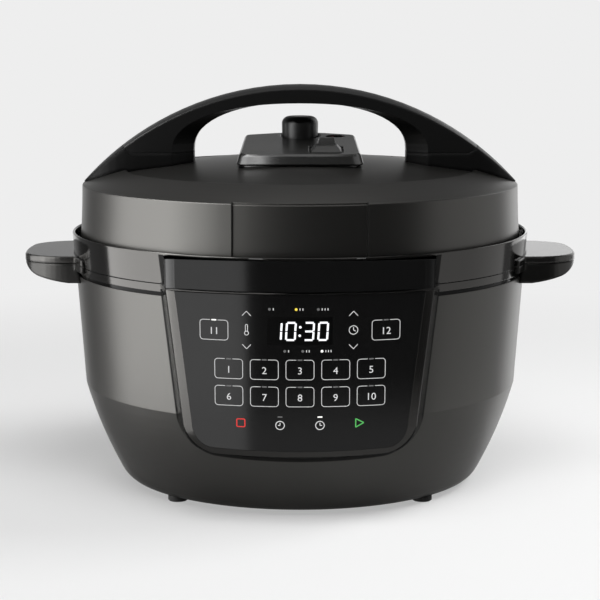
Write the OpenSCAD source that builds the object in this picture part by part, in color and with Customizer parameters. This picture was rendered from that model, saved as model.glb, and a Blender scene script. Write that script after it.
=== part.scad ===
// Electric pressure cooker with a bridge handle over its lid.
// The frame: Z is up, the control panel faces -Y, and the origin is on the
// table under the middle of the cooker.

/* [Pot] */
// Outer radius of the removable pot's wall
pot_r = 133; // [126:0.5:136]
// Height of the pot's underside above the table
pot_z = 50; // [47:0.5:60]
// Thickness of the pot's wall
pot_wall = 1.2; // [0.8:0.1:2]
// Thickness of the pot's clad base
pot_base_t = 3; // [2:0.5:5]
// Radius of the corner between the pot's wall and base
pot_corner_r = 14; // [8:1:20]
// Width of the pot's turned-out rim
pot_rim_w = 7; // [5:0.5:9]

/* [Base] */
// Height of the lower housing's top edge above the table
body_h = 160; // [152:1:168]
// Height of the crease between the tapered foot and the wall
crease_z = 76; // [66:1:90]
// Radius of the housing's flat underside
bottom_r = 134; // [128:1:138]
// Drop in radius from the wall's top to the crease
wall_draft = 5.8; // [3:0.2:9]
// Wall thickness of the lower housing
shell_wall = 2.2; // [1.6:0.1:3]
// Height of the rubber feet
foot_h = 4.5; // [3:0.5:7]
// Radius of a rubber foot
foot_r = 7.3; // [5:0.1:9]
// Distance of the feet from the middle
foot_pcd_r = 127; // [123:0.5:128]

/* [Rim] */
// Height of the rim band above the lower housing
band_h = 31; // [28:0.5:36]
// Thickness of the rim band's outer wall
band_wall = 2; // [1.4:0.1:2.6]
// Width of the open trough outside the lid's skirt
trough_gap = 4.5; // [3.5:0.1:6]
// Depth of the trough below the rim
trough_depth = 15; // [12:0.5:16]

/* [Lid] */
// Height of the lid's upper edge above the rim
lid_rise = 35.6; // [30:0.2:42]
// Thickness of the lid cover
lid_wall = 3; // [2:0.1:3.5]
// How much wider the skirt is at its foot than at its top
lid_flare = 1.5; // [0.5:0.1:2.5]
// Radius where the sloping border meets the inner disc
disc_r = 133; // [126:0.5:138]
// Rise of the sloping border
border_rise = 10.6; // [8:0.2:13]
// Height of the inner disc's crown above its own edge
disc_crown = 10.3; // [6:0.1:12]
// Number of locking lugs on the lid
lug_count = 6; // [6:1:6]
// Angle covered by one locking lug
lug_angle = 27; // [20:1:28]
// Radial reach of the locking lugs
lug_reach = 5; // [4:0.5:6]

/* [Bridge handle] */
// Height of the bridge above the lid's upper edge
arch_rise = 74.1; // [68:0.5:84]
// Half of the bridge's width in the middle
arch_w = 21.5; // [17:0.5:26]
// Half of the opening's width
opening_w = 80.6; // [74:0.2:86]
// Thickness of the bridge at its middle
arch_t = 13.6; // [11:0.2:18]
// Width of the bevel round the opening at the legs
arch_bevel = 15; // [8:0.5:18]

/* [Steam cover] */
// Half of the steam cover's width at its front
cover_w = 46.5; // [42:0.5:50]
// Rise of the cover's top from front to back per millimetre
cover_slope = 0.1; // [0.04:0.01:0.14]
// Radius of the pressure knob
knob_r = 14; // [12:0.5:15]
// Height of the knob above the cover
knob_h = 15; // [12:0.5:17]
// How far the quick-release slider travels
slider_travel = 8; // [4:1:9]

/* [Side handles] */
// How far a side handle stands out from the rim band
grip_out = 35.5; // [24:0.5:40]
// Half of the side handle's length
grip_half = 48; // [40:1:56]
// Height of the handle's top face below the rim
grip_drop = 16; // [14:0.5:20]
// Depth of the handle at its root
grip_root_h = 20; // [16:0.5:24]
// Depth of the handle at its tip
grip_tip_h = 3; // [2:0.5:6]
// Thickness of the handle's cover plate
grip_cover_t = 5; // [3.5:0.5:7]

/* [Control panel] */
// How far the panel's top edge stands out from the rim band
panel_out = 2.5; // [1:0.5:7]
// Radius of the panel's curved face
panel_curve = 320; // [280:5:400]
// Half of the panel's width at its top
panel_w = 92.7; // [88:0.1:96]
// Height of the panel's lowest edge
panel_z = 50; // [44:0.5:56]
// How far the panel's foot stands back from its top
panel_lean = 13; // [9:0.5:14]
// Radius of the panel's lower corners
panel_corner_r = 21.5; // [16:0.5:26]
// Width of the frame's bevel at the sides
bevel_side = 6.5; // [4:0.5:9]
// Width of the frame's bevel at the bottom
bevel_bottom = 4; // [3:0.5:7]
// How deep the glass lies in its frame
glass_inset = 1.2; // [0.6:0.1:1.6]
// Thickness of the glass
glass_t = 2.2; // [1.6:0.1:2.6]

/* [Condensation collector] */
// Half of the collector cup's width
cup_w = 28.5; // [22:0.5:34]
// Height of the cup
cup_h = 36; // [28:1:38]

/* [Hidden] */

// Clearances
seat = 0.3;
fit = 0.06;
eps = 0.01;
$fn = 180;
small_fn = 48;
hull_fn = 32;
drill = 400;

// Radii, from the pot outwards
pot_rim_r = pot_r + pot_rim_w;
pot_play = 1;
sheet = 1.2;
liner_r = pot_rim_r + pot_play;
seal_w = 8.8;
plate_r = pot_rim_r + seal_w + sheet;
lug_r = plate_r + lug_reach;
ring_gap = 1.5;
ring_wall = 1.6;
ring_r = lug_r + ring_gap;
ring_out_r = ring_r + ring_wall;
seat_wall = 2;
band_seat_r = ring_out_r + seat;
band_seat_out_r = band_seat_r + seat_wall;
skirt_gap = 3.6;
skirt_in_r = band_seat_out_r + skirt_gap;
lid_foot_r = skirt_in_r + lid_wall;
lid_r = lid_foot_r - lid_flare;
band_top_r = lid_foot_r + trough_gap + band_wall;
band_draft = 1.9;
band_foot_r = band_top_r - band_draft;
groove_r = band_foot_r - 1.4;
shell_top_r = band_top_r - 2.7;
crease_r = shell_top_r - wall_draft;

// Heights
band_top_z = body_h + band_h;
groove_h = 3;
seam_z = body_h + 8.7;
trough_z = band_top_z - trough_depth;
trough_t = 2;
liner_top_z = band_top_z - 11;
pot_rim_z = band_top_z - 7;
heater_top_z = pot_z - seat;
heater_t = 4.2;
element_r = 4;
liner_z = heater_top_z - heater_t - 2 * element_r - 1.6;
lug_t = 2.5;
lid_lug_z = liner_top_z + 2.2;
ring_lug_t = 1.8;
ring_lip = 0.5;
ring_root = 0.4;
ring_top_z = band_top_z - 1.5;
plate_z = pot_rim_z + 14;
plate_top_z = plate_z + sheet;
lid_edge_z = band_top_z + lid_rise;
lid_foot_z = band_top_z - 5;
border_z = lid_edge_z + border_rise;
disc_step = 1.5;
disc_edge_z = border_z - disc_step;
disc_edge_r = disc_r - 2;
disc_top_z = disc_edge_z + disc_crown;
base_plate_t = 2.5;
base_plate_z = foot_h + shell_wall;
base_top_z = base_plate_z + base_plate_t;
arch_top_z = lid_edge_z + arch_rise;
arch_r = (lid_r * lid_r + arch_rise * arch_rise) / (2 * arch_rise);
grip_z = band_top_z - grip_drop;
grip_reach = band_top_r + grip_out;
strip_z = body_h + 7;
strip_top_z = band_top_z - 2;

// A curve from a to b that stands out to the right by s at its middle
function bow(a, b, s, n) = [for (i = [0 : n])
    let (t = i / n, d = b - a) a + d * t + [d[1], -d[0]] / norm(d) * 4 * s * t * (1 - t)];
function oval(c, rx, ry, a0, a1, n) = [for (i = [0 : n])
    let (a = a0 + (a1 - a0) * i / n) c + [rx * cos(a), ry * sin(a)]];
function arc(c, r, a0, a1, n) = oval(c, r, r, a0, a1, n);
function flip(points) = [for (i = [len(points) - 1 : -1 : 0]) points[i]];

// Outline of the lower housing, from the table up
bottom_round = 6.4;
shell_path = concat(
    bow([bottom_r, foot_h], [bottom_r + 5.2, foot_h + bottom_round], 0.5, 3),
    bow([bottom_r + 5.2, foot_h + bottom_round], [crease_r, crease_z], 1.9, 10),
    [[shell_top_r, body_h]]);
band_path = [[band_foot_r, body_h + groove_h], [band_top_r, band_top_z]];
housing_table = [for (p = concat(shell_path, band_path)) [p[1], p[0]]];
function housing_r(z) = lookup(z, housing_table);
shell_table = [for (p = shell_path) [p[1], p[0]]];
function shell_r(z) = lookup(z, shell_table);

// Height of the lid's outer face at a distance from the middle
function disc_z(r) = disc_top_z - disc_crown * pow(r / disc_edge_r, 2);

module revolve(points) rotate_extrude() polygon(points);
module tube(ro, ri, h, fn = small_fn) difference() {
    cylinder(r = ro, h = h, $fn = fn);
    translate([0, 0, -1]) cylinder(r = ri, h = h + 2, $fn = fn);
}
module sector(ri, ro, z0, z1, angle) rotate([0, 0, -angle / 2])
    rotate_extrude(angle = angle) translate([ri, z0]) square([ro - ri, z1 - z0]);
module around(count, start = 0) for (i = [0 : count - 1]) rotate([0, 0, start + i * 360 / count]) children();
module box(lo, hi) translate(lo) cube(hi - lo);
module screw(r, head_r, head_h, length) {
    cylinder(r = head_r, h = head_h, $fn = small_fn);
    translate([0, 0, head_h]) cylinder(r = r, h = length, $fn = small_fn);
}

// ---- Lower housing -------------------------------------------------------

flange_r = 114;
lip_h = 7;
window_w = 78;
window_z0 = panel_z + 12;
window_z1 = body_h - 8;
bay_gap = 1.5;
bay_wall = 1.6;
bay_w = cup_w + bay_gap;
bay_depth = 21.8;
bay_y = shell_top_r - bay_depth;
bay_top_z = body_h - lip_h - seat;
cup_z = window_z1 - cup_h;
bay_z0 = cup_z - seat;
inlet_z = 22.5;
inlet_face_y = crease_r - 14.5;
inlet_w = 14;
inlet_h = 10.5;
boss_w = 19;
inlet_screw_x = 16.6;
inlet_screw_r = 1.3;
inlet_screw_l = 8;
part_gap = 0.1;
flange_h = inlet_h + 2.5;
boss_h = 13;
boss_depth = 28;
boss_front = 12;
foot_peg_r = 3;
foot_bevel = 0.7;

module housing_solid(grow = 0) revolve(concat([[0, foot_h]],
    [for (p = shell_path) p + [grow, 0]], [[0, body_h]]));

module shell_wall_solid() {
    inner = [for (p = flip(shell_path)) if (p[1] > base_plate_z) [p[0] - shell_wall, p[1]]];
    revolve(concat(shell_path, inner,
        [[shell_r(base_plate_z) - shell_wall, base_plate_z], [flange_r, base_plate_z], [flange_r, foot_h]]));
}

// Moulded tray that holds the collector cup
module collector_bay() color("#343331") intersection() {
    housing_solid(-eps);
    difference() {
        box([-bay_w - bay_wall, bay_y - bay_wall, bay_z0 - bay_wall],
            [bay_w + bay_wall, shell_top_r, bay_top_z]);
        box([-bay_w, bay_y, bay_z0], [bay_w, shell_top_r + 1, body_h + 1]);
    }
}

// Moulded seat of the mains inlet
module inlet_housing() color("#343331") difference() {
    box([-boss_w, inlet_face_y - boss_depth, inlet_z - boss_h], [boss_w, inlet_face_y, inlet_z + boss_h]);
    box([-inlet_w - seat, 0, inlet_z - inlet_h - seat],
        [inlet_w + seat, shell_top_r, inlet_z + inlet_h + seat]);
    box([shell_wall - boss_w, 0, inlet_z + shell_wall - boss_h],
        [boss_w - shell_wall, inlet_face_y - boss_front, inlet_z + boss_h - shell_wall]);
    for (s = [-1, 1]) translate([s * inlet_screw_x, inlet_face_y + 1, inlet_z])
        rotate([90, 0, 0]) cylinder(r = inlet_screw_r, h = inlet_screw_l + 1, $fn = small_fn);
}

module body_shell() color("#3a3937") difference() {
    shell_wall_solid();
    box([-window_w, -shell_top_r - 1, window_z0], [window_w, 0, body_h + 1]);
    box([-bay_w - bay_wall - part_gap, 0, bay_z0 - bay_wall - part_gap],
        [bay_w + bay_wall + part_gap, shell_top_r + 1, bay_top_z + shell_wall]);
    box([-boss_w - part_gap, 0, inlet_z - boss_h - part_gap],
        [boss_w + part_gap, shell_top_r, inlet_z + boss_h + part_gap]);
    panel_pocket();
    box([-boss_w - seat, inlet_face_y, inlet_z - flange_h - seat],
        [boss_w + seat, shell_top_r, inlet_z + flange_h + seat]);
    around(4, 45) translate([foot_pcd_r, 0, 0]) cylinder(r = foot_peg_r + fit, h = 20, $fn = small_fn);
    around(6) translate([screw_pcd_r, 0, 0]) cylinder(r = base_screw_r + fit, h = 20, $fn = small_fn);
}

// ---- Rim band ------------------------------------------------------------

lip_wall = 1.9;
ledge_r = liner_r + sheet + 2.3;
ledge_t = 2.5;
seam_cut = 0.7;

module rim_band() color("#2d2c2a") difference() {
    lip_r = shell_top_r - shell_wall - seat;
    in_foot = band_foot_r - band_wall;
    revolve(concat(
        [[lip_r - lip_wall, body_h - lip_h], [lip_r - 0.4, body_h - lip_h], [lip_r - 0.4, body_h],
         [groove_r, body_h], [groove_r, body_h + groove_h], [band_foot_r, body_h + groove_h],
         [housing_r(seam_z) - eps, seam_z - seam_cut / 2], [housing_r(seam_z) - seam_cut, seam_z],
         [housing_r(seam_z) + eps, seam_z + seam_cut / 2]],
        arc([band_top_r - band_wall / 2, band_top_z - band_wall / 2], band_wall / 2, 0, 180, 8),
        [[in_foot, trough_z], [band_seat_out_r, trough_z],
         [band_seat_out_r, ring_top_z - 3], [band_seat_r, ring_top_z - 3],
         [band_seat_r, liner_top_z - sheet], [ledge_r, liner_top_z - sheet],
         [ledge_r, liner_top_z - sheet - ledge_t], [band_seat_r, trough_z - trough_t],
         [in_foot - 2, trough_z - trough_t], [lip_r - lip_wall, trough_z - trough_t - 6]]));
    panel_pocket();
    translate([0, (band_seat_out_r + in_foot) / 2, trough_z - 2 * trough_t])
        cylinder(r = 2.5, h = 3 * trough_t, $fn = small_fn);
}

module locking_ring() color("#b9babc") {
    wall_h = ring_top_z - liner_top_z + ring_lip;
    difference() {
        revolve([[ring_out_r, liner_top_z], [ring_out_r, liner_top_z + wall_h],
            [ring_r, liner_top_z + wall_h], [ring_r, ring_top_z],
            [ring_r - lug_reach, ring_top_z], [ring_r - lug_reach, ring_top_z - ring_lug_t],
            [ring_r, ring_top_z - ring_lug_t], [ring_r, liner_top_z]]);
        around(lug_count)
            sector(ring_r - lug_reach - 1, ring_r - ring_root, ring_top_z - ring_lug_t - 1, ring_top_z + 1,
                360 / lug_count - lug_angle);
    }
}

// ---- Inside of the base --------------------------------------------------

liner_corner = 9;
guide_r = 10;

module cooker_liner() color("#a5a7aa") difference() {
    out_r = liner_r + sheet;
    revolve(concat([[guide_r, liner_z]],
        arc([out_r - liner_corner, liner_z + liner_corner], liner_corner, -90, 0, 8),
        [[out_r, liner_top_z - sheet], [ring_out_r, liner_top_z - sheet], [ring_out_r, liner_top_z],
         [liner_r, liner_top_z]],
        arc([out_r - liner_corner, liner_z + liner_corner], liner_corner - sheet, 0, -90, 8),
        [[guide_r, liner_z + sheet]]));
    around(3, 90) translate([post_pcd_r, 0, 0]) cylinder(r = post_bore_r, h = pot_z + 50, $fn = small_fn);
}

heater_r = 86;
sensor_hole_r = 15;
post_pcd_r = 78;
element_pcd_r = 60;
element_gap = 40;
terminal_r = 1.5;
terminal_l = 12;
post_r = 4;
post_bore_r = 1.6;
element_z = heater_top_z - heater_t - element_r - fit;
liner_floor_z = liner_z + sheet;

module heating_plate() color("#c2c3c5") revolve([
    [sensor_hole_r, heater_top_z - heater_t], [heater_r - 2, heater_top_z - heater_t],
    [heater_r, heater_top_z - 2], [heater_r, heater_top_z - 1], [heater_r - 1, heater_top_z],
    [sensor_hole_r + 1, heater_top_z], [sensor_hole_r, heater_top_z - 1]]);

module heating_ring() color("#8d8f92") {
    rotate([0, 0, element_gap / 2]) rotate_extrude(angle = 360 - element_gap)
        translate([element_pcd_r, element_z]) circle(r = element_r, $fn = small_fn);
    for (s = [-1, 1]) rotate([0, 0, s * element_gap / 2]) translate([element_pcd_r, 0, element_z])
        rotate([0, 90, 0]) cylinder(r = terminal_r, h = terminal_l, $fn = small_fn);
}

module heater_posts() color("#6f7174") around(3, 90) translate([post_pcd_r, 0, liner_floor_z])
    tube(post_r, post_bore_r, heater_top_z - heater_t - liner_floor_z);

fuse_r = 3;
fuse_l = 16;
fuse_y = 34;
fuse_lead = 6;
fuse_lead_r = 0.8;

module thermal_fuse() color("#d8d4c8")
    translate([-fuse_l / 2, fuse_y, liner_z - fuse_r - fit]) rotate([0, 90, 0]) {
        cylinder(r = fuse_r, h = fuse_l, $fn = small_fn);
        translate([0, 0, -fuse_lead]) cylinder(r = fuse_lead_r, h = fuse_l + 2 * fuse_lead, $fn = small_fn);
    }

sensor_r = 14;
sensor_t = 4;
stem_r = 3;
guide_flange = 1.5;
guide_drop = 3;

module sensor_guide() color("#2a2a2a") difference() {
    translate([0, 0, liner_z - guide_drop]) union() {
        cylinder(r = guide_r - fit, h = guide_drop + sheet + eps, $fn = small_fn);
        translate([0, 0, guide_drop + sheet]) cylinder(r = guide_r + 3, h = guide_flange, $fn = small_fn);
    }
    cylinder(r = stem_r + fit, h = 100, $fn = small_fn);
}

module temperature_sensor() color("#c9cacb") translate([0, 0, heater_top_z]) {
    translate([0, 0, -sensor_t]) cylinder(r = sensor_r, h = sensor_t, $fn = small_fn);
    stem = heater_top_z - liner_z + guide_drop + 2;
    translate([0, 0, -stem]) cylinder(r = stem_r, h = stem - sensor_t / 2, $fn = small_fn);
}

// A coil spring of round wire, from z0 to z1
function coil_ring(c, a, r, wire, sides) = [for (j = [0 : sides - 1])
    let (b = 360 * j / sides) [cos(a), sin(a), 0] * (r + wire * cos(b)) + [0, 0, c + wire * sin(b)]];
module coil_spring(r, wire, z0, z1, turns, per_turn = 14, sides = 6) {
    n = turns * per_turn;
    rise = z1 - z0 - 2 * wire;
    points = [for (i = [0 : n])
        each coil_ring(z0 + wire + rise * i / n, 360 * i / per_turn, r, wire, sides)];
    skin = [for (i = [0 : n - 1]) for (j = [0 : sides - 1])
        let (a = i * sides + j, b = i * sides + (j + 1) % sides)
            each [[a, a + sides, b], [b, a + sides, b + sides]]];
    caps = [[for (j = [0 : sides - 1]) j], [for (j = [sides - 1 : -1 : 0]) n * sides + j]];
    polyhedron(points, concat(skin, caps), convexity = 8);
}

module sensor_spring() color("#d0d1d3")
    coil_spring(7, 0.6, liner_floor_z + guide_flange + fit, heater_top_z - sensor_t - fit, 4);

// Underside, feet and power parts
plate_edge = 5.5;
vent_w = 3;
vent_l = 34;
vent_x = 24;
vent_y = -30;
board_z = base_top_z + 6;
board_t = 1.6;
board_w = 58;
board_y0 = 18;
board_y1 = 88;
board_edge = 6;
board_top_z = board_z + board_t;
board_hole = [for (s = [-1, 1]) for (y = [board_y0 + board_edge, board_y1 - board_edge])
    [s * (board_w - board_edge), y]];
board_hole_r = 1.8;
stand_r = 4;
stand_bore_r = 1.3;
capacitor_r = 5;
capacitor_h = 14;
capacitor_place = [[-40, 70], [-26, 70]];
socket_place = [[2, 66], [12, 84]];
socket_block_h = 11;
choke_place = [[-30, 24], [-8, 32]];
choke_h = 6;
relay_place = [[-50, 36], [-32, 52]];
relay_h = 13;
transformer_place = [26, 50];
core_w = 12;
core_l = 9;
core_h = 11;
coil_l = 13;
coil_w = 9;
coil_h = 14;
core_foot_h = 3;
screw_pcd_r = flange_r + plate_edge / 2;
base_screw_r = 1.5;
base_head = 1.8;
base_head_r = 2.4;
board_screw_r = 1.2;
board_screw_l = 6;
board_head_r = 2.6;
board_head_h = 1.6;

module base_plate() color("#2b2b2b") difference() {
    union() {
        translate([0, 0, base_plate_z]) cylinder(r = flange_r + plate_edge, h = base_plate_t);
        for (p = board_hole) translate([p[0], p[1], base_plate_z])
            cylinder(r = stand_r, h = board_z - base_plate_z, $fn = small_fn);
    }
    for (p = board_hole) translate([p[0], p[1], base_plate_z - 1])
        cylinder(r = stand_bore_r, h = board_z - base_plate_z + 2, $fn = small_fn);
    around(6) translate([screw_pcd_r, 0, 0]) cylinder(r = base_screw_r + fit, h = 30, $fn = small_fn);
    for (row = [-5 : 5]) for (s = [-1, 1])
        translate([s * vent_x - vent_l / 2, row * 3 * vent_w + vent_y - vent_w / 2, base_plate_z - 1])
            cube([vent_l, vent_w, base_plate_t + 2]);
}

module feet() color("#1c1c1c") around(4, 45) translate([foot_pcd_r, 0, 0]) {
    cylinder(r1 = foot_r - foot_bevel, r2 = foot_r, h = foot_bevel, $fn = small_fn);
    translate([0, 0, foot_bevel]) cylinder(r = foot_r, h = foot_h - foot_bevel, $fn = small_fn);
    translate([0, 0, foot_h - eps]) cylinder(r = foot_peg_r, h = shell_wall + 1, $fn = small_fn);
}

module base_screws() color("#77797c") around(6) translate([screw_pcd_r, 0, foot_h - base_head])
    screw(base_screw_r, base_head_r, base_head, base_plate_t + shell_wall);

module power_board() color("#2f6b45") difference() {
    union() {
        box([-board_w, board_y0, board_z], [board_w, board_y1, board_top_z]);
        for (p = capacitor_place) translate([p[0], p[1], board_top_z - eps])
            cylinder(r = capacitor_r, h = capacitor_h, $fn = small_fn);
        board_block(socket_place, socket_block_h);
        board_block(choke_place, choke_h);
    }
    for (p = board_hole) translate([p[0], p[1], 0]) cylinder(r = board_hole_r, h = 100, $fn = small_fn);
}

// A part on the power board that covers the place from one corner to the other
module board_block(place, h, lift = -eps)
    box(concat(place[0], board_top_z + lift), concat(place[1], board_top_z + h));

module transformer() color("#c9a54a") translate(concat(transformer_place, board_top_z)) {
    box([-core_w, -coil_l, 0], [core_w, coil_l, core_foot_h]);
    box([-coil_w, -coil_l, core_foot_h - eps], [coil_w, coil_l, coil_h]);
    box([-core_w, -core_l, core_foot_h - eps], [core_w, core_l, core_h]);
}

module relay() color("#2a4f87") board_block(relay_place, relay_h, 0);

module board_screws() color("#85878a") for (p = board_hole)
    translate([p[0], p[1], board_top_z + board_head_h]) rotate([180, 0, 0])
        screw(board_screw_r, board_head_r, board_head_h, board_screw_l);

inlet_depth = 20;
inlet_flange_t = 2.5;
socket_w = 12;
socket_h = 8.2;
socket_depth = 15;
socket_cut = 4;
inlet_head_r = 2.2;
inlet_head_h = 1.4;
pin_x = [-7, 0, 7];
pin_w = 1;
pin_h = 2;
pin_tail = 6;
pin_set_back = 3;

module power_inlet() color("#1a1a1a") translate([0, inlet_face_y, inlet_z]) difference() {
    union() {
        box([-inlet_w, -inlet_depth, -inlet_h], [inlet_w, inlet_flange_t, inlet_h]);
        box([-boss_w, 0, -flange_h], [boss_w, inlet_flange_t, flange_h]);
    }
    translate([0, inlet_flange_t + 1, 0]) rotate([90, 0, 0]) linear_extrude(socket_depth + 1)
        polygon([[-socket_w, -socket_h], [socket_w, -socket_h], [socket_w, socket_h - socket_cut],
            [socket_w - socket_cut, socket_h], [socket_cut - socket_w, socket_h],
            [-socket_w, socket_h - socket_cut]]);
    for (s = [-1, 1]) translate([s * inlet_screw_x, 10, 0]) rotate([90, 0, 0])
        cylinder(r = inlet_screw_r + 0.3, h = 20, $fn = small_fn);
    for (x = pin_x) box([x - pin_w - part_gap, -inlet_depth - 1, -pin_h - part_gap],
        [x + pin_w + part_gap, 0, pin_h + part_gap]);
}

module inlet_pins() color("#b98d3e") translate([0, inlet_face_y, inlet_z])
    for (x = pin_x) box([x - pin_w, -inlet_depth - pin_tail, -pin_h], [x + pin_w, -pin_set_back, pin_h]);

module inlet_screws() color("#85878a") for (s = [-1, 1])
    translate([s * inlet_screw_x, inlet_face_y + inlet_flange_t + inlet_head_h, inlet_z])
    rotate([90, 0, 0]) screw(inlet_screw_r - fit, inlet_head_r, inlet_head_h, inlet_screw_l);

cup_out = 5.2;

module condensation_cup() color("#3c3c3e") {
    cup_wall = 1.8;
    lip = 4.5;
    out_r = shell_top_r + cup_out;
    in_r = shell_top_r + seat;
    difference() {
        union() {
            intersection() {
                box([-cup_w, bay_y + seat, cup_z], [cup_w, out_r, cup_z + cup_h]);
                cylinder(r = out_r, h = body_h);
            }
            intersection() {
                box([-cup_w - lip, bay_y, cup_z - lip], [cup_w + lip, out_r + 1, cup_z + cup_h + lip]);
                tube(out_r, in_r, body_h, $fn);
            }
        }
        intersection() {
            box([-cup_w + cup_wall, bay_y + seat + cup_wall, cup_z + cup_wall],
                [cup_w - cup_wall, out_r, cup_z + cup_h + lip + 1]);
            cylinder(r = out_r - cup_wall, h = body_h + 1);
        }
    }
}

// ---- Side handles --------------------------------------------------------

grip_corner = 28;
grip_round = 0.95 * grip_out;
grip_bow = 1.2;
grip_seam = grip_z - grip_cover_t;
grip_bevel = 0.8;
seam_groove = 0.6;
cover_lip = 0.3;
grip_belly_h = 15.5;
grip_belly = 13;
core_depth = 60;
core_gap = 0.1;
grip_in = shell_top_r - 40;
collar_half = grip_half + 19;
collar_r = housing_r(grip_z) + 2;
collar_h = 10;

// Outline of a side handle from above, drawn over by grow
module grip_plan(grow = 0) {
    tip = grip_reach + grow - grip_bow;
    half = grip_half + grow;
    polygon(concat([[grip_in, -half]],
        oval([tip - grip_round, grip_corner - half], grip_round, grip_corner, -90, -6, 12),
        bow([tip, grip_corner - half], [tip, half - grip_corner], grip_bow, 6),
        oval([tip - grip_round, half - grip_corner], grip_round, grip_corner, 6, 90, 12),
        [[grip_in, half]]));
}

// The handle's shape between two heights, with the belly of its underside
module grip_blank(z0, z1, grow = 0) intersection() {
    root = [shell_top_r + 2, grip_z - grip_root_h];
    belly = [grip_reach - grip_belly, grip_z - grip_belly_h];
    tip = [grip_reach + grow, grip_z - grip_tip_h];
    translate([0, 0, z0]) linear_extrude(z1 - z0) grip_plan(grow);
    translate([0, collar_half, 0]) rotate([90, 0, 0]) linear_extrude(2 * collar_half)
        polygon(concat([[grip_in, grip_z], [grip_in, grip_z - grip_root_h]],
            bow(root, belly, 0.4, 4), bow(belly, tip, 2.2, 8), [[grip_reach + grow, grip_z]]));
}

// Part of the collar that runs along the band at both sides of the handle
module grip_collar(z0, z1) intersection() {
    translate([0, 0, z0]) cylinder(r = collar_r, h = z1 - z0);
    box([grip_in, -collar_half, z0], [collar_r, collar_half, z1]);
}

module grip() color("#2c2b29") difference() {
    union() {
        grip_blank(grip_z - grip_root_h - 1, grip_seam - seam_groove);
        grip_blank(grip_seam - seam_groove - eps, grip_seam - fit, -seam_groove);
        grip_collar(grip_z - collar_h, grip_seam - fit);
    }
    band_core(core_gap);
}

module grip_cover() color("#343331") difference() {
    union() {
        grip_blank(grip_seam, grip_z - grip_bevel, cover_lip);
        hull() {
            translate([0, 0, grip_z - grip_bevel - eps]) linear_extrude(eps) grip_plan(cover_lip);
            translate([0, 0, grip_z - eps]) linear_extrude(eps) grip_plan(cover_lip - grip_bevel);
        }
        grip_collar(grip_seam, grip_z - grip_bevel / 2);
    }
    band_core(core_gap);
}

// Everything inside the outer face of the wall and the band
module band_core(grow) {
    core_z = body_h - core_depth;
    revolve([[0, core_z], [shell_r(core_z) + grow, core_z], [shell_top_r + grow, body_h],
        [band_foot_r + grow, body_h + groove_h], [band_top_r + grow, band_top_z], [0, band_top_z]]);
}

module left_grip() mirror([1, 0, 0]) grip();
module left_grip_cover() mirror([1, 0, 0]) grip_cover();
module right_grip() grip();
module right_grip_cover() grip_cover();

// ---- Control panel -------------------------------------------------------
// The panel is drawn flat as (u, v) and bent on to a leaning cylinder.
// d is the height above its face.

panel_top_v = strip_z - panel_z;
panel_y = band_top_r + panel_out;
panel_tilt = atan(panel_lean / (strip_top_z - panel_z));
panel_foot_y = panel_y - panel_lean;
side_slope = 0.114;
corner_u = panel_w - side_slope * (panel_top_v - panel_corner_r - 1) - panel_corner_r;
corner_v = panel_corner_r + 1;
bottom_sag = 1.4;

function drop(u, d = 0) = panel_curve + d - sqrt(pow(panel_curve + d, 2) - u * u);
function face_y(v, w) = -panel_foot_y - w * cos(panel_tilt) - v * sin(panel_tilt);
function face_z(v, w) = panel_z + v * cos(panel_tilt) - w * sin(panel_tilt);
function on_face(u, v, d) = let (w = d - drop(u, d)) [u, face_y(v, w), face_z(v, w)];

// Half of the panel's outline, moved inward by its side, bottom and top margins
function half_outline(side, bottom, top) = concat(
    [for (i = [0 : 10]) [(panel_w - side) * i / 10, panel_top_v - top]],
    [for (i = [1 : 8]) let (t = i / 9, v = panel_top_v - top + (corner_v - panel_top_v + top) * t)
        [panel_w - side - side_slope * (panel_top_v - v), v]],
    [for (i = [0 : 8]) let (a = -90 * i / 8)
        [corner_u + (panel_corner_r - side) * cos(a), corner_v + (panel_corner_r - bottom) * sin(a)]],
    [for (i = [1 : 5]) let (t = 1 - i / 6)
        [corner_u * t, corner_v - panel_corner_r + bottom - bottom_sag * (1 - t * t)]]);
function outline(side, bottom, top) = concat(half_outline(side, bottom, top),
    [[0, corner_v - panel_corner_r + bottom - bottom_sag]],
    [for (p = flip(half_outline(side, bottom, top))) if (p[0] > eps) [-p[0], p[1]]]);

function face_row(side, bottom, top, d) = [for (p = outline(side, bottom, top)) on_face(p[0], p[1], d)];
function seat_w(u, v, z) =
    (sqrt(pow(housing_r(z) + seat, 2) - u * u) - panel_foot_y - v * sin(panel_tilt)) / cos(panel_tilt);
// Points where the frame's rear edge meets the housing
function seat_row(side, bottom, top) = [for (p = outline(side, bottom, top))
    let (first = seat_w(p[0], p[1], face_z(p[1], 0)), w = seat_w(p[0], p[1], face_z(p[1], first)))
    [p[0], face_y(p[1], w), face_z(p[1], w)]];

// A closed ring through rows of points
module ring_skin(rows) {
    n = len(rows[0]);
    m = len(rows);
    faces = [for (i = [0 : m - 1]) for (j = [0 : n - 1])
        let (k = (j + 1) % n, row = i * n, next = ((i + 1) % m) * n)
            each [[row + j, next + j, row + k], [row + k, next + j, next + k]]];
    polyhedron([for (row = rows) each row], faces, convexity = 8);
}

pocket_w = 70;
pocket_back = 60;
frame_flare = 4.5;
frame_wall = 2;
top_wall = 0.6;
bevel_top = 1.2;
glass_play = 0.15;
shelf = 8;
shelf_top = 5;
pocket_d = -glass_inset - glass_t - glass_play;
shelf_t = 2;
edge_round = 0.7;
control_w = 18;
board_drop = 17;
board_side = 2.5;
board_foot = 10;
panel_post_r = 2.6;

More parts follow.
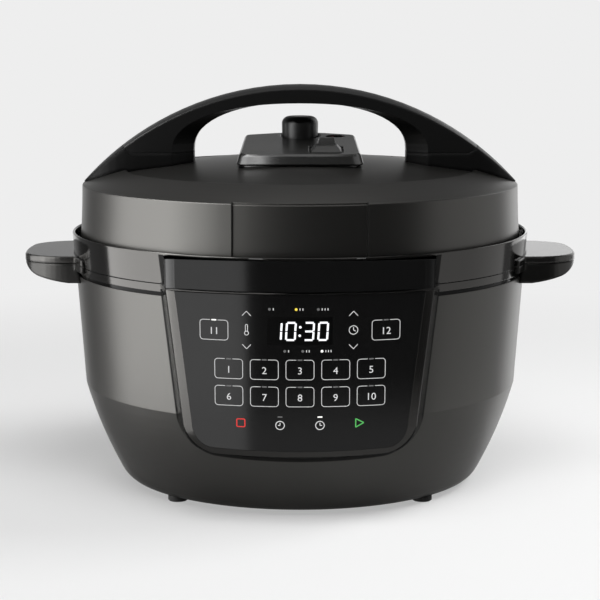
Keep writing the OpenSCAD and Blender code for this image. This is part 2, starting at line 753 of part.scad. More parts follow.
module panel_frame() color("#4a4947") {
    ring_skin([
        seat_row(-frame_flare, -frame_flare + 1, 0),
        face_row(0, 0, 0, -edge_round),
        face_row(edge_round, edge_round, edge_round / 2, 0),
        face_row(bevel_side, bevel_bottom, bevel_top, -glass_inset),
        face_row(bevel_side, bevel_bottom, bevel_top, pocket_d),
        face_row(bevel_side + shelf, bevel_bottom + shelf, shelf_top, pocket_d),
        face_row(bevel_side + shelf, bevel_bottom + shelf, shelf_top, pocket_d - shelf_t),
        face_row(frame_wall, frame_wall, top_wall, pocket_d - shelf_t),
        seat_row(frame_wall - frame_flare, frame_wall - frame_flare + 1, top_wall)]);
}

module on_panel() translate([0, -panel_foot_y, panel_z]) rotate([90 + panel_tilt, 0, 0]) children();
module face_cylinder(d) translate([0, -panel_z, -panel_curve]) rotate([-90, 0, 0])
    cylinder(r = panel_curve + d, h = 2 * body_h, $fn = 2 * $fn);

// Room behind the frame's shelf, cut out of the housing and the band
module panel_pocket() on_panel() difference() {
    translate([-pocket_w, 1, -pocket_back]) cube([2 * pocket_w, panel_top_v - 1, 2 * pocket_back]);
    face_cylinder(pocket_d - shelf_t - seat);
}

module panel_glass() color("#161616") on_panel() intersection() {
    translate([0, 0, -pocket_back]) linear_extrude(2 * pocket_back)
        polygon(outline(bevel_side + glass_play, bevel_bottom + glass_play, bevel_top + glass_play));
    difference() {
        face_cylinder(-glass_inset);
        face_cylinder(-glass_inset - glass_t);
    }
}

strip_gap = 0.8;
strip_min_t = 0.8;
strip_inset = min(glass_inset, panel_out - strip_min_t);
strip_side_d = 2;
strip_back_y = 120;
bevel_cut = 10;

// The strip closes the panel's top, with the frame's bevel at its ends
module panel_strip() color("#31302e") difference() {
    foot = panel_w - bevel_side;
    rim = panel_w - edge_round;
    side_y = panel_y - drop(panel_w) + strip_side_d;
    intersection() {
        on_panel() face_cylinder(0);
        on_panel() translate([-panel_curve / 2, panel_top_v + strip_gap, -panel_curve / 4])
            cube([panel_curve, 2 * band_h, panel_curve / 2]);
        translate([0, 0, strip_z - 2]) linear_extrude(strip_top_z - strip_z + 2)
            polygon([[-panel_w, -panel_y - 1], [panel_w, -panel_y - 1], [panel_w, -side_y],
                [panel_w + frame_flare, -strip_back_y], [-panel_w - frame_flare, -strip_back_y],
                [-panel_w, -side_y]]);
    }
    on_panel() difference() {
        rise = (strip_inset + drop(foot) - drop(rim)) / (rim - foot);
        low = -strip_inset - drop(foot);
        wide = foot + bevel_cut;
        high = low + bevel_cut * rise;
        translate([0, panel_top_v + 2 * band_h, 0]) rotate([90, 0, 0]) linear_extrude(4 * band_h)
            polygon([[-foot, low], [foot, low], [wide, high],
                [wide, band_h], [-wide, band_h], [-wide, high]]);
        face_cylinder(-strip_inset);
    }
    band_core(core_gap);
}

display_u = 24;
display_v = panel_top_v - 27;
display_h = 11;
display_t = 10;

function post_u(v) = panel_w - side_slope * (panel_top_v - v) - bevel_side - 5;
post_v = [26, panel_top_v - board_drop - 12];

module control_board() color("#2c5f40") on_panel() difference() {
    union() {
        translate([0, 0, -control_w - board_t]) linear_extrude(board_t)
            polygon(outline(bevel_side + board_side, bevel_bottom + board_foot, board_drop));
        for (s = [-1, 1]) for (v = post_v) translate([s * post_u(v), v, -control_w - eps])
            cylinder(r = panel_post_r, $fn = small_fn,
                h = control_w - drop(post_u(v) + panel_post_r) + pocket_d - shelf_t - seat);
    }
    for (s = [-1, 1]) for (v = post_v) translate([s * post_u(v), v, -control_w - board_t - 1])
        cylinder(r = stand_bore_r, h = control_w, $fn = small_fn);
}

module display_module() color("#252525") on_panel()
    box([-display_u, display_v - display_h, -control_w],
        [display_u, display_v + display_h, display_t - control_w]);

// ---- Pot -----------------------------------------------------------------

module inner_pot() color("#cfd0d1") revolve(concat([[0, pot_z]],
    arc([pot_r - pot_corner_r, pot_z + pot_corner_r], pot_corner_r, -90, 0, 10),
    [[pot_r, pot_rim_z - pot_wall - 1.5], [pot_r + 1.5, pot_rim_z - pot_wall],
     [pot_rim_r - 0.6, pot_rim_z - pot_wall], [pot_rim_r, pot_rim_z - pot_wall / 2],
     [pot_rim_r - 0.6, pot_rim_z], [pot_r + 1, pot_rim_z], [pot_r - pot_wall, pot_rim_z - 2.2]],
    arc([pot_r - pot_corner_r, pot_z + pot_corner_r + pot_base_t - pot_wall],
        pot_corner_r - pot_wall, 0, -90, 10),
    [[0, pot_z + pot_base_t]]));

// ---- Lid -----------------------------------------------------------------

skirt_path = concat(
    arc([lid_foot_r - 1.5, lid_foot_z + 1.5], 1.5, -60, 0, 4),
    bow([lid_foot_r - eps, lid_foot_z + 4], [lid_r, lid_edge_z - 1.2], -0.25, 6));
border_path = bow([lid_r - 2, lid_edge_z + 0.3], [disc_r + 0.8, border_z - 0.2], 0.35, 5);
field_angle = 32.6;
field_depth = 1.2;
field_top = 0.75;
boss_pcd_r = 100;
pipe_y = 18;
pipe_r = 4.5;
float_x = 27;
float_y = 14;
float_r = 3.5;
bolt_x = [100, 116];
bolt_r = 1.6;

module lid_cover() color("#2f2e2c") {
    top_in = -lid_wall;
    difference() {
        revolve(concat([[skirt_in_r, lid_foot_z]], skirt_path,
            arc([lid_r - 1.2, lid_edge_z - 1.2], 1.2, 0, 72, 4),
            border_path,
            [[disc_r, border_z - 0.1], [disc_r - 0.6, border_z - 0.6], [disc_r - 0.9, disc_edge_z - 0.7],
             [disc_edge_r - 0.3, disc_edge_z - 0.6]],
            [for (i = [0 : 14]) let (r = disc_edge_r * (1 - i / 14)) [r, disc_z(r)]],
            [for (i = [0 : 14]) let (r = disc_edge_r * i / 14) [r, disc_z(r) + top_in]],
            [[disc_r + 2, border_z + top_in - 0.6], [skirt_in_r - 5, lid_edge_z + top_in],
             [skirt_in_r - 1, lid_edge_z + top_in - 3]]));
        difference() {
            rotate([0, 0, -90])
                sector(lid_r - field_depth - 1, lid_foot_r + 2, lid_foot_z - 1, border_z, field_angle);
            revolve(concat([[0, lid_foot_z - 2]], [[lid_foot_r - field_depth, lid_foot_z - 2]],
                [for (p = skirt_path) p - [field_depth, 0]],
                arc([lid_r - field_depth - 1.2, lid_edge_z - field_top - 1.2], 1.2, 0, 72, 4),
                [[disc_r, border_z + 2], [0, border_z + 2]]));
        }
        translate([0, pipe_y, 0]) cylinder(r = pipe_r + 2, h = drill, $fn = small_fn);
        translate([float_x, float_y, 0]) cylinder(r = float_r + 1.5, h = drill, $fn = small_fn);
        for (s = [-1, 1]) for (x = bolt_x) translate([s * x, 0, 0])
            cylinder(r = bolt_r + 0.6, h = drill, $fn = small_fn);
    }
    around(4, 45) translate([boss_pcd_r, 0, plate_top_z])
        tube(5, 1.5, disc_z(boss_pcd_r) - lid_wall - plate_top_z + 0.6);
}

// Bridge handle: sections across the bridge, lofted from side to side
arch_end = 0.995 * lid_r;
arch_stations = 44;
arch_crown = 2.4;
arch_fillet = 1.6;
foot_seam_z = lid_edge_z + 23.4;
seam_x = 127;
seam_run = 40;
seam_rise = 29;

function arch_z(x) = arch_top_z - arch_r + sqrt(arch_r * arch_r - x * x);
function arch_half(x) = arch_w * (1 - pow(abs(x) / lid_r, 14));
function station_x(i) = arch_end * sin(90 * (2 * i / arch_stations - 1));
function arch_section(x) =
    let (w = arch_half(x), top = arch_z(x), c = arch_crown * w / arch_w, f = arch_fillet * w / arch_w,
        foot = lid_edge_z - 4, side = top - c - f)
    concat([[x, -w, foot], [x, w, foot], [x, w, side]],
        [for (a = [30, 60]) [x, w - f + f * cos(a), side + f * sin(a)]],
        [for (k = [4 : -1 : -4]) let (y = (w - f) * k / 4) [x, y, top - c * pow(k / 4, 2)]],
        [for (a = [120, 150]) [x, f - w + f * cos(a), side + f * sin(a)]],
        [[x, -w, side]]);

module loft(sections) {
    n = len(sections[0]);
    m = len(sections);
    skin = [for (i = [0 : m - 2]) for (j = [0 : n - 1])
        let (a = i * n + j, b = i * n + (j + 1) % n) each [[a, a + n, b], [b, a + n, b + n]]];
    caps = [[for (j = [0 : n - 1]) j], [for (j = [n - 1 : -1 : 0]) (m - 1) * n + j]];
    polyhedron([for (s = sections) each s], concat(skin, caps), convexity = 8);
}

opening_top_z = arch_top_z - arch_t;
opening_z = lid_edge_z + 25.4;
opening_power = 2.2;
function opening_points(stretch, sink, n = 16) = concat([[-opening_w * stretch, sink]],
    [for (i = [-n : n]) let (a = 90 * i / n, x = opening_w * sin(a))
        [x * stretch, opening_z + (opening_top_z - opening_z)
            * pow(max(0, 1 - pow(abs(x) / opening_w, opening_power)), 1 / opening_power)]],
    [[opening_w * stretch, sink]]);
module opening_slice(stretch, y, t) translate([0, y + t / 2, 0]) rotate([90, 0, 0]) linear_extrude(t)
    polygon(opening_points(stretch, lid_edge_z - 10));

module arch_solid() difference() {
    loft([for (i = [0 : arch_stations]) arch_section(station_x(i))]);
    opening_slice(1, 0, 4 * arch_w);
    for (s = [-1, 1]) hull() {
        opening_slice(1, s * (arch_w - 13), 0.1);
        opening_slice(1 + (arch_bevel + 3) / opening_w, s * (arch_w + 2), 0.1);
    }
}

// The bridge lies above the seam and the feet lie below it
module above_seam(gap) {
    low = foot_seam_z + gap;
    high = low + seam_rise;
    out = seam_x + seam_run;
    translate([0, 2 * arch_w, 0]) rotate([90, 0, 0]) linear_extrude(4 * arch_w)
        polygon([[-seam_x, low], [seam_x, low], [out, high], [out, arch_top_z + 10],
            [-out, arch_top_z + 10], [-out, high]]);
}

module lid_core() revolve(concat([[0, lid_foot_z], [lid_r + fit, lid_foot_z], [lid_r + fit, lid_edge_z]],
    [for (p = border_path) p + [0, seat / 2]],
    [[disc_r - 0.5, border_z + fit], [disc_edge_r, disc_edge_z + fit]],
    [for (i = [0 : 14]) let (r = disc_edge_r * (1 - i / 14)) [r, disc_z(r) + fit]]));

module bolt_holes() for (s = [-1, 1]) for (x = bolt_x) translate([s * x, 0, 0])
    cylinder(r = bolt_r + part_gap, h = border_z + bolt_length + 1, $fn = small_fn);

module handle_bridge() color("#1f1e1d") difference() {
    intersection() {
        arch_solid();
        above_seam(0.1);
    }
    bolt_holes();
}

module handle_foot() color("#252423") difference() {
    intersection() {
        arch_solid();
        translate([0, -2 * arch_w, 0]) cube([lid_foot_r, 4 * arch_w, drill]);
    }
    above_seam(-0.1);
    lid_core();
    bolt_holes();
}
module right_handle_foot() handle_foot();
module left_handle_foot() mirror([1, 0, 0]) handle_foot();

bolt_head_r = 3.6;
bolt_head_h = 1.8;
bolt_length = 13;

module handle_screws() color("#85878a") for (s = [-1, 1]) for (x = bolt_x)
    translate([s * x, 0, disc_z(x + bolt_head_r) - lid_wall - bolt_head_h - 0.1])
        screw(bolt_r, bolt_head_r, bolt_head_h, bolt_length);

// Steam cover
cover_z = disc_top_z + 12.7;
cover_front_r = 66.4;
cover_back_r = 34.5;
cover_tilt = atan(cover_slope);
cover_t = 2.2;
well_r = knob_r + 2.4;
well_wall = 1.6;
cover_round = 7;
cover_back_round = 5;
cover_bow = 9;
cover_foot_z = disc_z(cover_front_r) + 0.9;
cover_foot_round = 1;
cover_taper = 2.2;
cover_lean = 1.8;
cover_top_round = 1.4;
slice = 0.1;
neck_inset = 3.4;

// Points that the cover's outline is drawn round: two front corners and a bowed back
module cover_plan(w_front, w_back, y_front, y_back) {
    for (s = [-1, 1]) {
        translate([s * (w_front - cover_round), y_front + cover_round])
            circle(r = cover_round, $fn = small_fn);
        translate([s * (w_back - cover_back_round), y_back - cover_back_round - cover_bow])
            circle(r = cover_back_round, $fn = hull_fn);
    }
    for (k = [-3 : 3]) translate([k * (w_back - 14) / 3, y_back - 3 - cover_bow * k * k / 14])
        circle(r = 3, $fn = hull_fn);
}
module on_cover() translate([0, 0, cover_z]) rotate([cover_tilt, 0, 0]) children();
// One level of the cover, with its outline moved in by inset
module cover_level(z, inset) translate([0, 0, z]) linear_extrude(slice)
    cover_plan(cover_w - inset, cover_w - cover_taper - inset,
        inset - cover_front_r, cover_back_r - inset);
module cover_hull(inset) hull() {
    cover_level(cover_foot_z + inset, inset + cover_foot_round);
    cover_level(cover_foot_z + cover_foot_round + inset, inset);
    on_cover() {
        cover_level(-cover_top_round - slice - inset, inset + cover_lean);
        cover_level(-slice - inset, inset + cover_lean + cover_top_round);
    }
}
module cover_neck(inset) {
    foot = disc_z(norm([cover_w, cover_front_r])) - 3;
    translate([0, 0, foot]) linear_extrude(cover_foot_z + 2 * cover_foot_round - foot) hull()
        cover_plan(cover_w - inset, cover_w - cover_taper - inset,
            inset - cover_front_r, cover_back_r - inset);
}

slider_x = 19.5;
slider_y = -47.5;
slider_w = 11;
slider_l = 9;
slider_top_w = 7.8;
slider_h = 3.4;
slider_ramp = 8;
thumb_w = 6.7;
thumb_l = 3.6;
thumb_h = 4.9;
thumb_lean = 0.9;
rib_count = 11;
rib_w = 0.6;
rib_h = 0.5;
pocket_depth = 2;
pocket_side = 1.9;
stem_w = 3;
float_pocket_r = 5.4;
float_pocket_x = 2.2;
float_pocket_d = 1.8;
float_boss_r = 10;
float_boss_h = 7;
stem_l = 5;

// Space for a sliding block of half sizes w and l, and for its travel
module slide_box(w, l, z, h) translate([slider_x - w, slider_y - l, z])
    cube([2 * w, 2 * l + slider_travel, h]);

module steam_cover() color("#333230") difference() {
    union() {
        difference() {
            union() {
                cover_hull(0);
                cover_neck(neck_inset);
            }
            cover_hull(cover_t);
            cover_neck(neck_inset + cover_t);
        }
        intersection() {
            cover_hull(0.4);
            union() {
                translate([0, pipe_y, disc_top_z - 4]) cylinder(r = well_r + well_wall, h = 60, $fn = 90);
                on_cover() translate([float_x, float_y, -float_boss_h])
                    cylinder(r = float_boss_r, h = float_boss_h - 0.5, $fn = small_fn);
                on_cover() slide_box(slider_w + pocket_side + 2, slider_l + 2, -pocket_depth - 2, 3);
            }
        }
    }
    translate([0, pipe_y, disc_top_z]) cylinder(r = well_r, h = 60, $fn = 90);
    translate([0, pipe_y, 0]) cylinder(r = pipe_r + 1, h = drill, $fn = small_fn);
    translate([float_x, float_y, 0]) cylinder(r = float_r + 0.6, h = drill, $fn = small_fn);
    on_cover() translate([float_x, float_y, -float_pocket_d]) {
        for (s = [-1, 1]) translate([s * float_pocket_x, 0, 0])
            cylinder(r = float_pocket_r, h = 10, $fn = small_fn);
        translate([-float_pocket_x, -float_pocket_r, 0]) cube([2 * float_pocket_x, 2 * float_pocket_r, 10]);
    }
    on_cover() slide_box(slider_w + pocket_side, slider_l + seat, -pocket_depth, 10);
    on_cover() slide_box(stem_w + seat, stem_w + seat, -20, 30);
    lid_core();
}

// Slider with a sloping front, a ribbed edge and a thumb block
module quick_release() color("#3b3a38") on_cover() translate([slider_x, slider_y, -pocket_depth + fit]) {
    top = pocket_depth + slider_h;
    edge_y = slider_ramp - slider_l;
    hull() {
        translate([-slider_w, -slider_l, 0]) cube([2 * slider_w, 2 * slider_l, pocket_depth + 0.3]);
        translate([-slider_top_w, edge_y, 0]) cube([2 * slider_top_w, 2 * slider_l - slider_ramp, top]);
    }
    hull() {
        translate([-thumb_w, slider_l - thumb_l, top - eps]) cube([2 * thumb_w, thumb_l, 1]);
        for (s = [-1, 1]) translate([s * (thumb_w - 1.8), slider_l + thumb_lean, top + thumb_h - 1])
            rotate([90, 0, 0]) cylinder(r = 1, h = thumb_l - 1, $fn = 24);
    }
    for (k = [0 : rib_count - 1])
        translate([(2 * k / (rib_count - 1) - 1) * (slider_top_w - rib_w) - rib_w / 2, edge_y, top - eps])
            cube([rib_w, slider_l - thumb_l - edge_y, rib_h]);
    translate([-stem_w, -stem_w, -stem_l]) cube([2 * stem_w, 2 * stem_w, stem_l + 1]);
}

// Pressure parts of the lid
module lid_plate() color("#c6c7c9") difference() {
    corner = 8;
    union() {
        revolve(concat([[plate_r - sheet, lid_lug_z], [plate_r, lid_lug_z]],
            arc([plate_r - corner, plate_top_z - corner], corner, 0, 90, 8),
            [[0, plate_top_z], [0, plate_z]],
            arc([plate_r - corner, plate_top_z - corner], corner - sheet, 90, 0, 8)));
        around(lug_count, 0) sector(plate_r - 0.4, lug_r, lid_lug_z, lid_lug_z + lug_t, lug_angle);
    }
    translate([0, pipe_y, 0]) cylinder(r = pipe_r + fit, h = drill, $fn = small_fn);
    translate([float_x, float_y, 0]) cylinder(r = float_r + fit, h = drill, $fn = small_fn);
    around(4, 45) translate([boss_pcd_r, 0, 0]) cylinder(r = 1.7, h = drill, $fn = small_fn);
}

module lid_screws() color("#85878a") around(4, 45) translate([boss_pcd_r, 0, plate_z - 2 - eps])
    screw(1.4, 3.4, 2, 12);

rack_r = pot_r + 5.5;
rack_wire = 1.3;
leg_wire = 0.9;
rack_z = plate_z - 7;
rack_leg_r = pot_r - 0.5;

module seal_rack() color("#b9babc") {
    rotate_extrude() translate([rack_r, rack_z]) circle(r = rack_wire, $fn = hull_fn);
    around(8, 22.5) translate([rack_leg_r, 0, rack_z]) {
        rotate([0, 90, 0]) cylinder(r = leg_wire, h = rack_r - rack_leg_r, $fn = hull_fn);
        translate([0, 0, -leg_wire]) cylinder(r = leg_wire, h = plate_z - rack_z + leg_wire, $fn = hull_fn);
    }
}

module sealing_ring() color("#dcdad4") {
    out = plate_r - sheet - seat;
    low = pot_rim_z + seat;
    high = plate_z - seat;
    lip = 2.6;
    revolve([[pot_r + 1.5, low], [out - 1, low], [out, low + 1], [out, high - 7],
        [out - 5.5, high], [pot_r + 2.5, high], [pot_r + 2.5, high - lip], [out - 5.5, high - lip],
        [out - 3.6, high - lip - 2], [out - 3.6, low + lip], [pot_r + 1.5, low + lip - 0.6]]);
}

pipe_top_z = cover_z + knob_h - 7;
nut_h = 4.5;
nut_r = 8.1;
steam_bore_r = 2;
pipe_foot = 6;
pipe_flange_r = 9;
pipe_flange_t = 2;

module steam_pipe() color("#bfc0c2") translate([0, pipe_y, 0]) difference() {
    union() {
        translate([0, 0, plate_z - pipe_foot])
            cylinder(r = pipe_r, h = pipe_top_z - plate_z + pipe_foot, $fn = small_fn);
        translate([0, 0, plate_top_z]) cylinder(r = pipe_flange_r, h = pipe_flange_t, $fn = small_fn);
    }
    cylinder(r = steam_bore_r, h = drill, $fn = small_fn);
}

module pipe_nut() color("#9a9c9f") translate([0, pipe_y, plate_z - nut_h - fit]) difference() {
    cylinder(r = nut_r, h = nut_h, $fn = 6);
    translate([0, 0, -1]) cylinder(r = pipe_r + fit, h = 10, $fn = small_fn);
}

shield_r = 13;
shield_h = 11;
shield_hole_r = 1.5;

module steam_shield() color("#aaacaf") translate([0, pipe_y, plate_z - shield_h]) difference() {
    cylinder(r = shield_r, h = shield_h, $fn = small_fn);
    translate([0, 0, 1]) cylinder(r = shield_r - sheet, h = shield_h, $fn = small_fn);
    around(12) translate([0, 0, shield_h / 2]) rotate([0, 90, 0])
        cylinder(r = shield_hole_r, h = 2 * shield_r, $fn = small_fn);
}

float_lift = 3.5;
float_top_z = cover_z + cover_slope * float_y - 1.3;
float_foot_z = plate_z - 8;
float_bevel = 1;
float_flange_r = 5.5;
float_flange_t = 1.5;
float_cap_r = 6;
float_cap_h = 3;

module float_valve() color("#c03028") translate([float_x, float_y, 0]) {
    translate([0, 0, float_foot_z])
        cylinder(r = float_r, h = float_top_z - float_foot_z - float_bevel, $fn = small_fn);
    translate([0, 0, float_top_z - float_bevel])
        cylinder(r1 = float_r, r2 = float_r - float_bevel, h = float_bevel, $fn = small_fn);
    translate([0, 0, plate_top_z + seat]) cylinder(r = float_flange_r, h = float_flange_t, $fn = small_fn);
}

module float_cap() color("#e4e1da")
    translate([float_x, float_y, plate_z - float_lift - seat - float_cap_h])
        tube(float_cap_r, float_r + fit, float_cap_h);

weight_r = 5.5;
weight_h = 3;
knob_round_w = 6.3;
knob_round_h = 5.5;
knob_wall = 3;
scoop_r = 14;
scoop_back = 9;
scoop_up = 6;

// Knob with rounded shoulders and a thumb scoop at its front
module steam_knob() color("#2b2a29") translate([0, pipe_y, 0]) difference() {
    top = cover_z + knob_h + cover_slope * pipe_y;
    foot = disc_top_z + 6;
    rotate_extrude($fn = 120) polygon(concat([[0, foot], [knob_r - 0.3, foot]],
        oval([knob_r - knob_round_w, top - knob_round_h], knob_round_w, knob_round_h, 0, 90, 10),
        [[0, top]]));
    cylinder(r = pipe_r + fit, h = pipe_top_z + 0.5, $fn = small_fn);
    translate([0, 0, foot - 1]) cylinder(r = knob_r - knob_wall, h = pipe_top_z - foot - 9, $fn = 90);
    translate([-2 * knob_r, -knob_r - scoop_back, top + scoop_up]) rotate([0, 90, 0])
        cylinder(r = scoop_r, h = 4 * knob_r, $fn = 90);
    translate([0, 0, pipe_top_z - 1]) cylinder(r = weight_r + fit, h = weight_h + 1.1, $fn = small_fn);
}

module valve_weight() color("#a8aaad") translate([0, pipe_y, pipe_top_z + seat])
    cylinder(r = weight_r, h = weight_h - seat, $fn = small_fn);

body_shell();
collector_bay();
inlet_housing();
rim_band();
locking_ring();
cooker_liner();
base_plate();
feet();
base_screws();
left_grip();
left_grip_cover();
right_grip();
right_grip_cover();
panel_strip();
panel_frame();
panel_glass();
display_module();
control_board();
power_board();
transformer();
relay();
board_screws();
power_inlet();
inlet_pins();
inlet_screws();
heating_plate();
heating_ring();
heater_posts();
thermal_fuse();
sensor_guide();
sensor_spring();
temperature_sensor();
condensation_cup();
inner_pot();
lid_cover();
handle_bridge();
left_handle_foot();
right_handle_foot();
handle_screws();
steam_cover();
lid_plate();
lid_screws();
seal_rack();
sealing_ring();
steam_pipe();
pipe_nut();
steam_shield();
float_valve();
float_cap();
quick_release();
steam_knob();
valve_weight();
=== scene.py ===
# %% [markdown]
# # Dressing an electric pressure cooker
#
# The cooker arrives as a imported CAD model: fifty-two separate parts on nine bodies, eight of
# which move, already in metres and in one shared frame. This lesson gives every part a finish,
# prints the control panel, lights the studio and places the camera. What has a real size stays
# as CAD made it. Only what is printed or lit is added here, and one coil that has to shorten.
#
# Run the cells from top to bottom. Each one prints what it made or measured.

# %% [markdown]
# ## 1. Load the model
#
# The parts could be imported one by one, but then each would need its own place; the frame
# already knows it. The box is measured at once.

import math

import bpy
import mathutils
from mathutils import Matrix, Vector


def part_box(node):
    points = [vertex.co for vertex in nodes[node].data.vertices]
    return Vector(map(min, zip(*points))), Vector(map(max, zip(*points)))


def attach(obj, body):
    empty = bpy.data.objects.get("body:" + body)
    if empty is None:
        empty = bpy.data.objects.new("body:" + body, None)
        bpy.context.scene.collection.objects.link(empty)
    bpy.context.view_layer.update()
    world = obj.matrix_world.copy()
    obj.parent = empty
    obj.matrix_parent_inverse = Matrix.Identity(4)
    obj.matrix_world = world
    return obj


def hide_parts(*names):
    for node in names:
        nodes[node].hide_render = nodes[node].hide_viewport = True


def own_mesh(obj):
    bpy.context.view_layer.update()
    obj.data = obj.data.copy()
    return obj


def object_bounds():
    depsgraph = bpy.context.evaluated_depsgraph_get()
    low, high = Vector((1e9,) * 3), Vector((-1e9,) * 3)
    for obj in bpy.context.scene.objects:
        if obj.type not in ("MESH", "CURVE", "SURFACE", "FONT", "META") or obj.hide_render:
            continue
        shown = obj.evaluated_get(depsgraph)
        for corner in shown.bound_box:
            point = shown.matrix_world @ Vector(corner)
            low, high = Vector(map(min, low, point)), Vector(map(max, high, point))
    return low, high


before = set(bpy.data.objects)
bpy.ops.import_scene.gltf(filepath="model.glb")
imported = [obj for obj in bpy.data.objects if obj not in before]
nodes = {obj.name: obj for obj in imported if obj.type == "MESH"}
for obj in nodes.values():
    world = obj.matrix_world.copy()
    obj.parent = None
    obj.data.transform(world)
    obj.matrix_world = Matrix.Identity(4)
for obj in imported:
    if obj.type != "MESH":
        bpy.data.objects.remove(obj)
cad_low, cad_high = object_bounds()
mm = 0.001

cad_size = cad_high - cad_low
print("width, depth, height in mm:", [round(side / mm, 1) for side in cad_size])

# %% [markdown]
# ## 2. Place the camera
#
# A short lens close by would make the round pot bulge and the side handles shrink. So a long
# lens stands well back instead, a little above the lid, and looks slightly down: the panel
# stays upright, and the tilt shows the rim and the lid's dome.

# %% The camera
camera_back = 1.431
camera_height = 0.3636
camera_tilt = math.radians(9.09)
camera_lens = 112.5
sensor_width = 36.0

camera_data = bpy.data.cameras.new("studio camera")
camera_data.lens = camera_lens
camera_data.sensor_width = sensor_width
camera_data.clip_end = 50
camera = bpy.data.objects.new("studio camera", camera_data)
camera.location = (0, -camera_back, camera_height)
camera.rotation_euler = (math.pi / 2 - camera_tilt, 0, 0)
bpy.context.scene.collection.objects.link(camera)
bpy.context.scene.camera = camera

view_angle = 2 * math.degrees(math.atan(sensor_width / 2 / camera_lens))
print("field of view in degrees:", round(view_angle, 2))

# %% [markdown]
# ## 3. Small node helpers
#
# Every finish is a node tree. Written out in full, each node takes several lines. These
# helpers add a node, set its uniform values and join two sockets, so that the recipes below
# read as one step per line.

# %% Node helpers
def new_material(name):
    """An empty material with nodes, and its tree."""
    material = bpy.data.materials.new(name)
    material.use_nodes = True
    material.node_tree.nodes.clear()
    return material, material.node_tree


def add(tree, kind, **values):
    """A node of this kind. Each value sets a property, or an input of that name."""
    node = tree.nodes.new(kind)
    for name, value in values.items():
        if hasattr(node, name):
            setattr(node, name, value)
        else:
            node.inputs[name].default_value = value
    return node


def join(tree, source, output, target, entry):
    """Wires one node's output to another node's input."""
    tree.links.new(source.outputs[output], target.inputs[entry])


def grey(value):
    """A neutral colour."""
    return (value, value, value, 1)


print("node helpers: new_material, add, join, grey")

# %% [markdown]
# Some finishes change with the place on the cooker. That takes arithmetic on signals: a signal
# is the output of a node, and `calc` turns signals and numbers into a new one. A painted mask
# could do the same, but it would need an image and would blur close up.

# %% Arithmetic on signals
def calc(tree, operation, *terms):
    """One step of arithmetic. A term is a number or a signal."""
    node = add(tree, "ShaderNodeMath", operation=operation)
    for place, term in enumerate(terms):
        if isinstance(term, (int, float)):
            node.inputs[place].default_value = term
        else:
            tree.links.new(term, node.inputs[place])
    return node.outputs[0]


def chain(tree, operation, first, *others):
    """The same operation over several terms, from left to right."""
    for other in others:
        first = calc(tree, operation, first, other)
    return first


print("helpers for arithmetic: calc, chain")

# %% [markdown]
# A noise runs from 0 to 1, and `spread` stretches it to the range that a finish needs.
# `soft_step` turns a distance into an edge without a hard line, and `own_place` tells where on
# the cooker the point is.

# %% Ranges, soft edges and places
def spread(tree, signal, low, high):
    """Turns a 0 to 1 signal into low to high."""
    node = add(tree, "ShaderNodeMapRange")
    node.inputs["To Min"].default_value = low
    node.inputs["To Max"].default_value = high
    tree.links.new(signal, node.inputs["Value"])
    return node.outputs["Result"]


def soft_step(tree, signal, low, high, start=0.0, end=1.0):
    """Goes smoothly from start, where the signal is low, to end, where it is high."""
    node = add(tree, "ShaderNodeMapRange", interpolation_type="SMOOTHSTEP")
    node.inputs["From Min"].default_value = low
    node.inputs["From Max"].default_value = high
    node.inputs["To Min"].default_value = start
    node.inputs["To Max"].default_value = end
    tree.links.new(signal, node.inputs["Value"])
    return node.outputs["Result"]


def own_place(tree):
    """The point's x, y and z on the cooker, in metres."""
    place = add(tree, "ShaderNodeTexCoord")
    parts = add(tree, "ShaderNodeSeparateXYZ")
    join(tree, place, "Object", parts, "Vector")
    return [parts.outputs[axis] for axis in "XYZ"]


print("helpers for signals: spread, soft_step, own_place")

# %% [markdown]
# ## 4. Where light does not reach
#
# On a real cooker the seams between mouldings are black, because no light comes back out of
# them. This shade is painted into the colour. A dark strip could be modelled in each seam, but
# the CAD already has the gaps. An ambient occlusion node finds them: it tells how much of the
# nearby space is open, and the painted shade goes where little of it is.

# %% Painted shade in narrow seams
seam_closed = 0.40
seam_open = 0.80


def out_of_seams(tree, reach):
    """1 in the open, 0 deep in a seam narrower than the reach, where shade is painted."""
    node = add(tree, "ShaderNodeAmbientOcclusion", samples=6)
    node.inputs["Distance"].default_value = reach
    return soft_step(tree, node.outputs["AO"], seam_closed, seam_open)


print("a seam is dark where less than", seam_closed, "of the space round it is open")

# %% [markdown]
# A shadow gap runs round the panel's frame, where it stands proud of the housing, and its shade
# is painted into the colour. It follows the frame's outline, so the mask measures how far a
# point lies outside that outline. The outline is a wide plate with two large lower corners: its
# sides taper towards the foot, and its lower edge sags in the middle. Inside the outline the
# distance is below 0.

# %% How far a point lies outside the frame
frame_half = 0.0930
frame_slope = 0.114
frame_high = 0.117
frame_foot = 0.0496
frame_sag = 0.529
frame_corner = 0.0215


def past_the_frame(tree, x, z):
    """The distance from the frame's outline, seen from the front, in metres."""
    sag = chain(tree, "MULTIPLY", x, x, frame_sag)
    up = chain(tree, "SUBTRACT", z, frame_foot, sag)
    taper = calc(tree, "MULTIPLY", calc(tree, "SUBTRACT", frame_high, up), frame_slope)
    side = calc(tree, "SUBTRACT", calc(tree, "ABSOLUTE", x), frame_half)
    outward = chain(tree, "ADD", side, taper, frame_corner)
    below = calc(tree, "SUBTRACT", frame_corner, up)
    outward_part = calc(tree, "POWER", calc(tree, "MAXIMUM", outward, 0.0), 2.0)
    below_part = calc(tree, "POWER", calc(tree, "MAXIMUM", below, 0.0), 2.0)
    outside = calc(tree, "SQRT", calc(tree, "ADD", outward_part, below_part))
    inside = calc(tree, "MINIMUM", calc(tree, "MAXIMUM", outward, below), 0.0)
    return calc(tree, "SUBTRACT", calc(tree, "ADD", outside, inside), frame_corner)


print("frame width at the top in mm:", round(2 * frame_half / mm, 1))
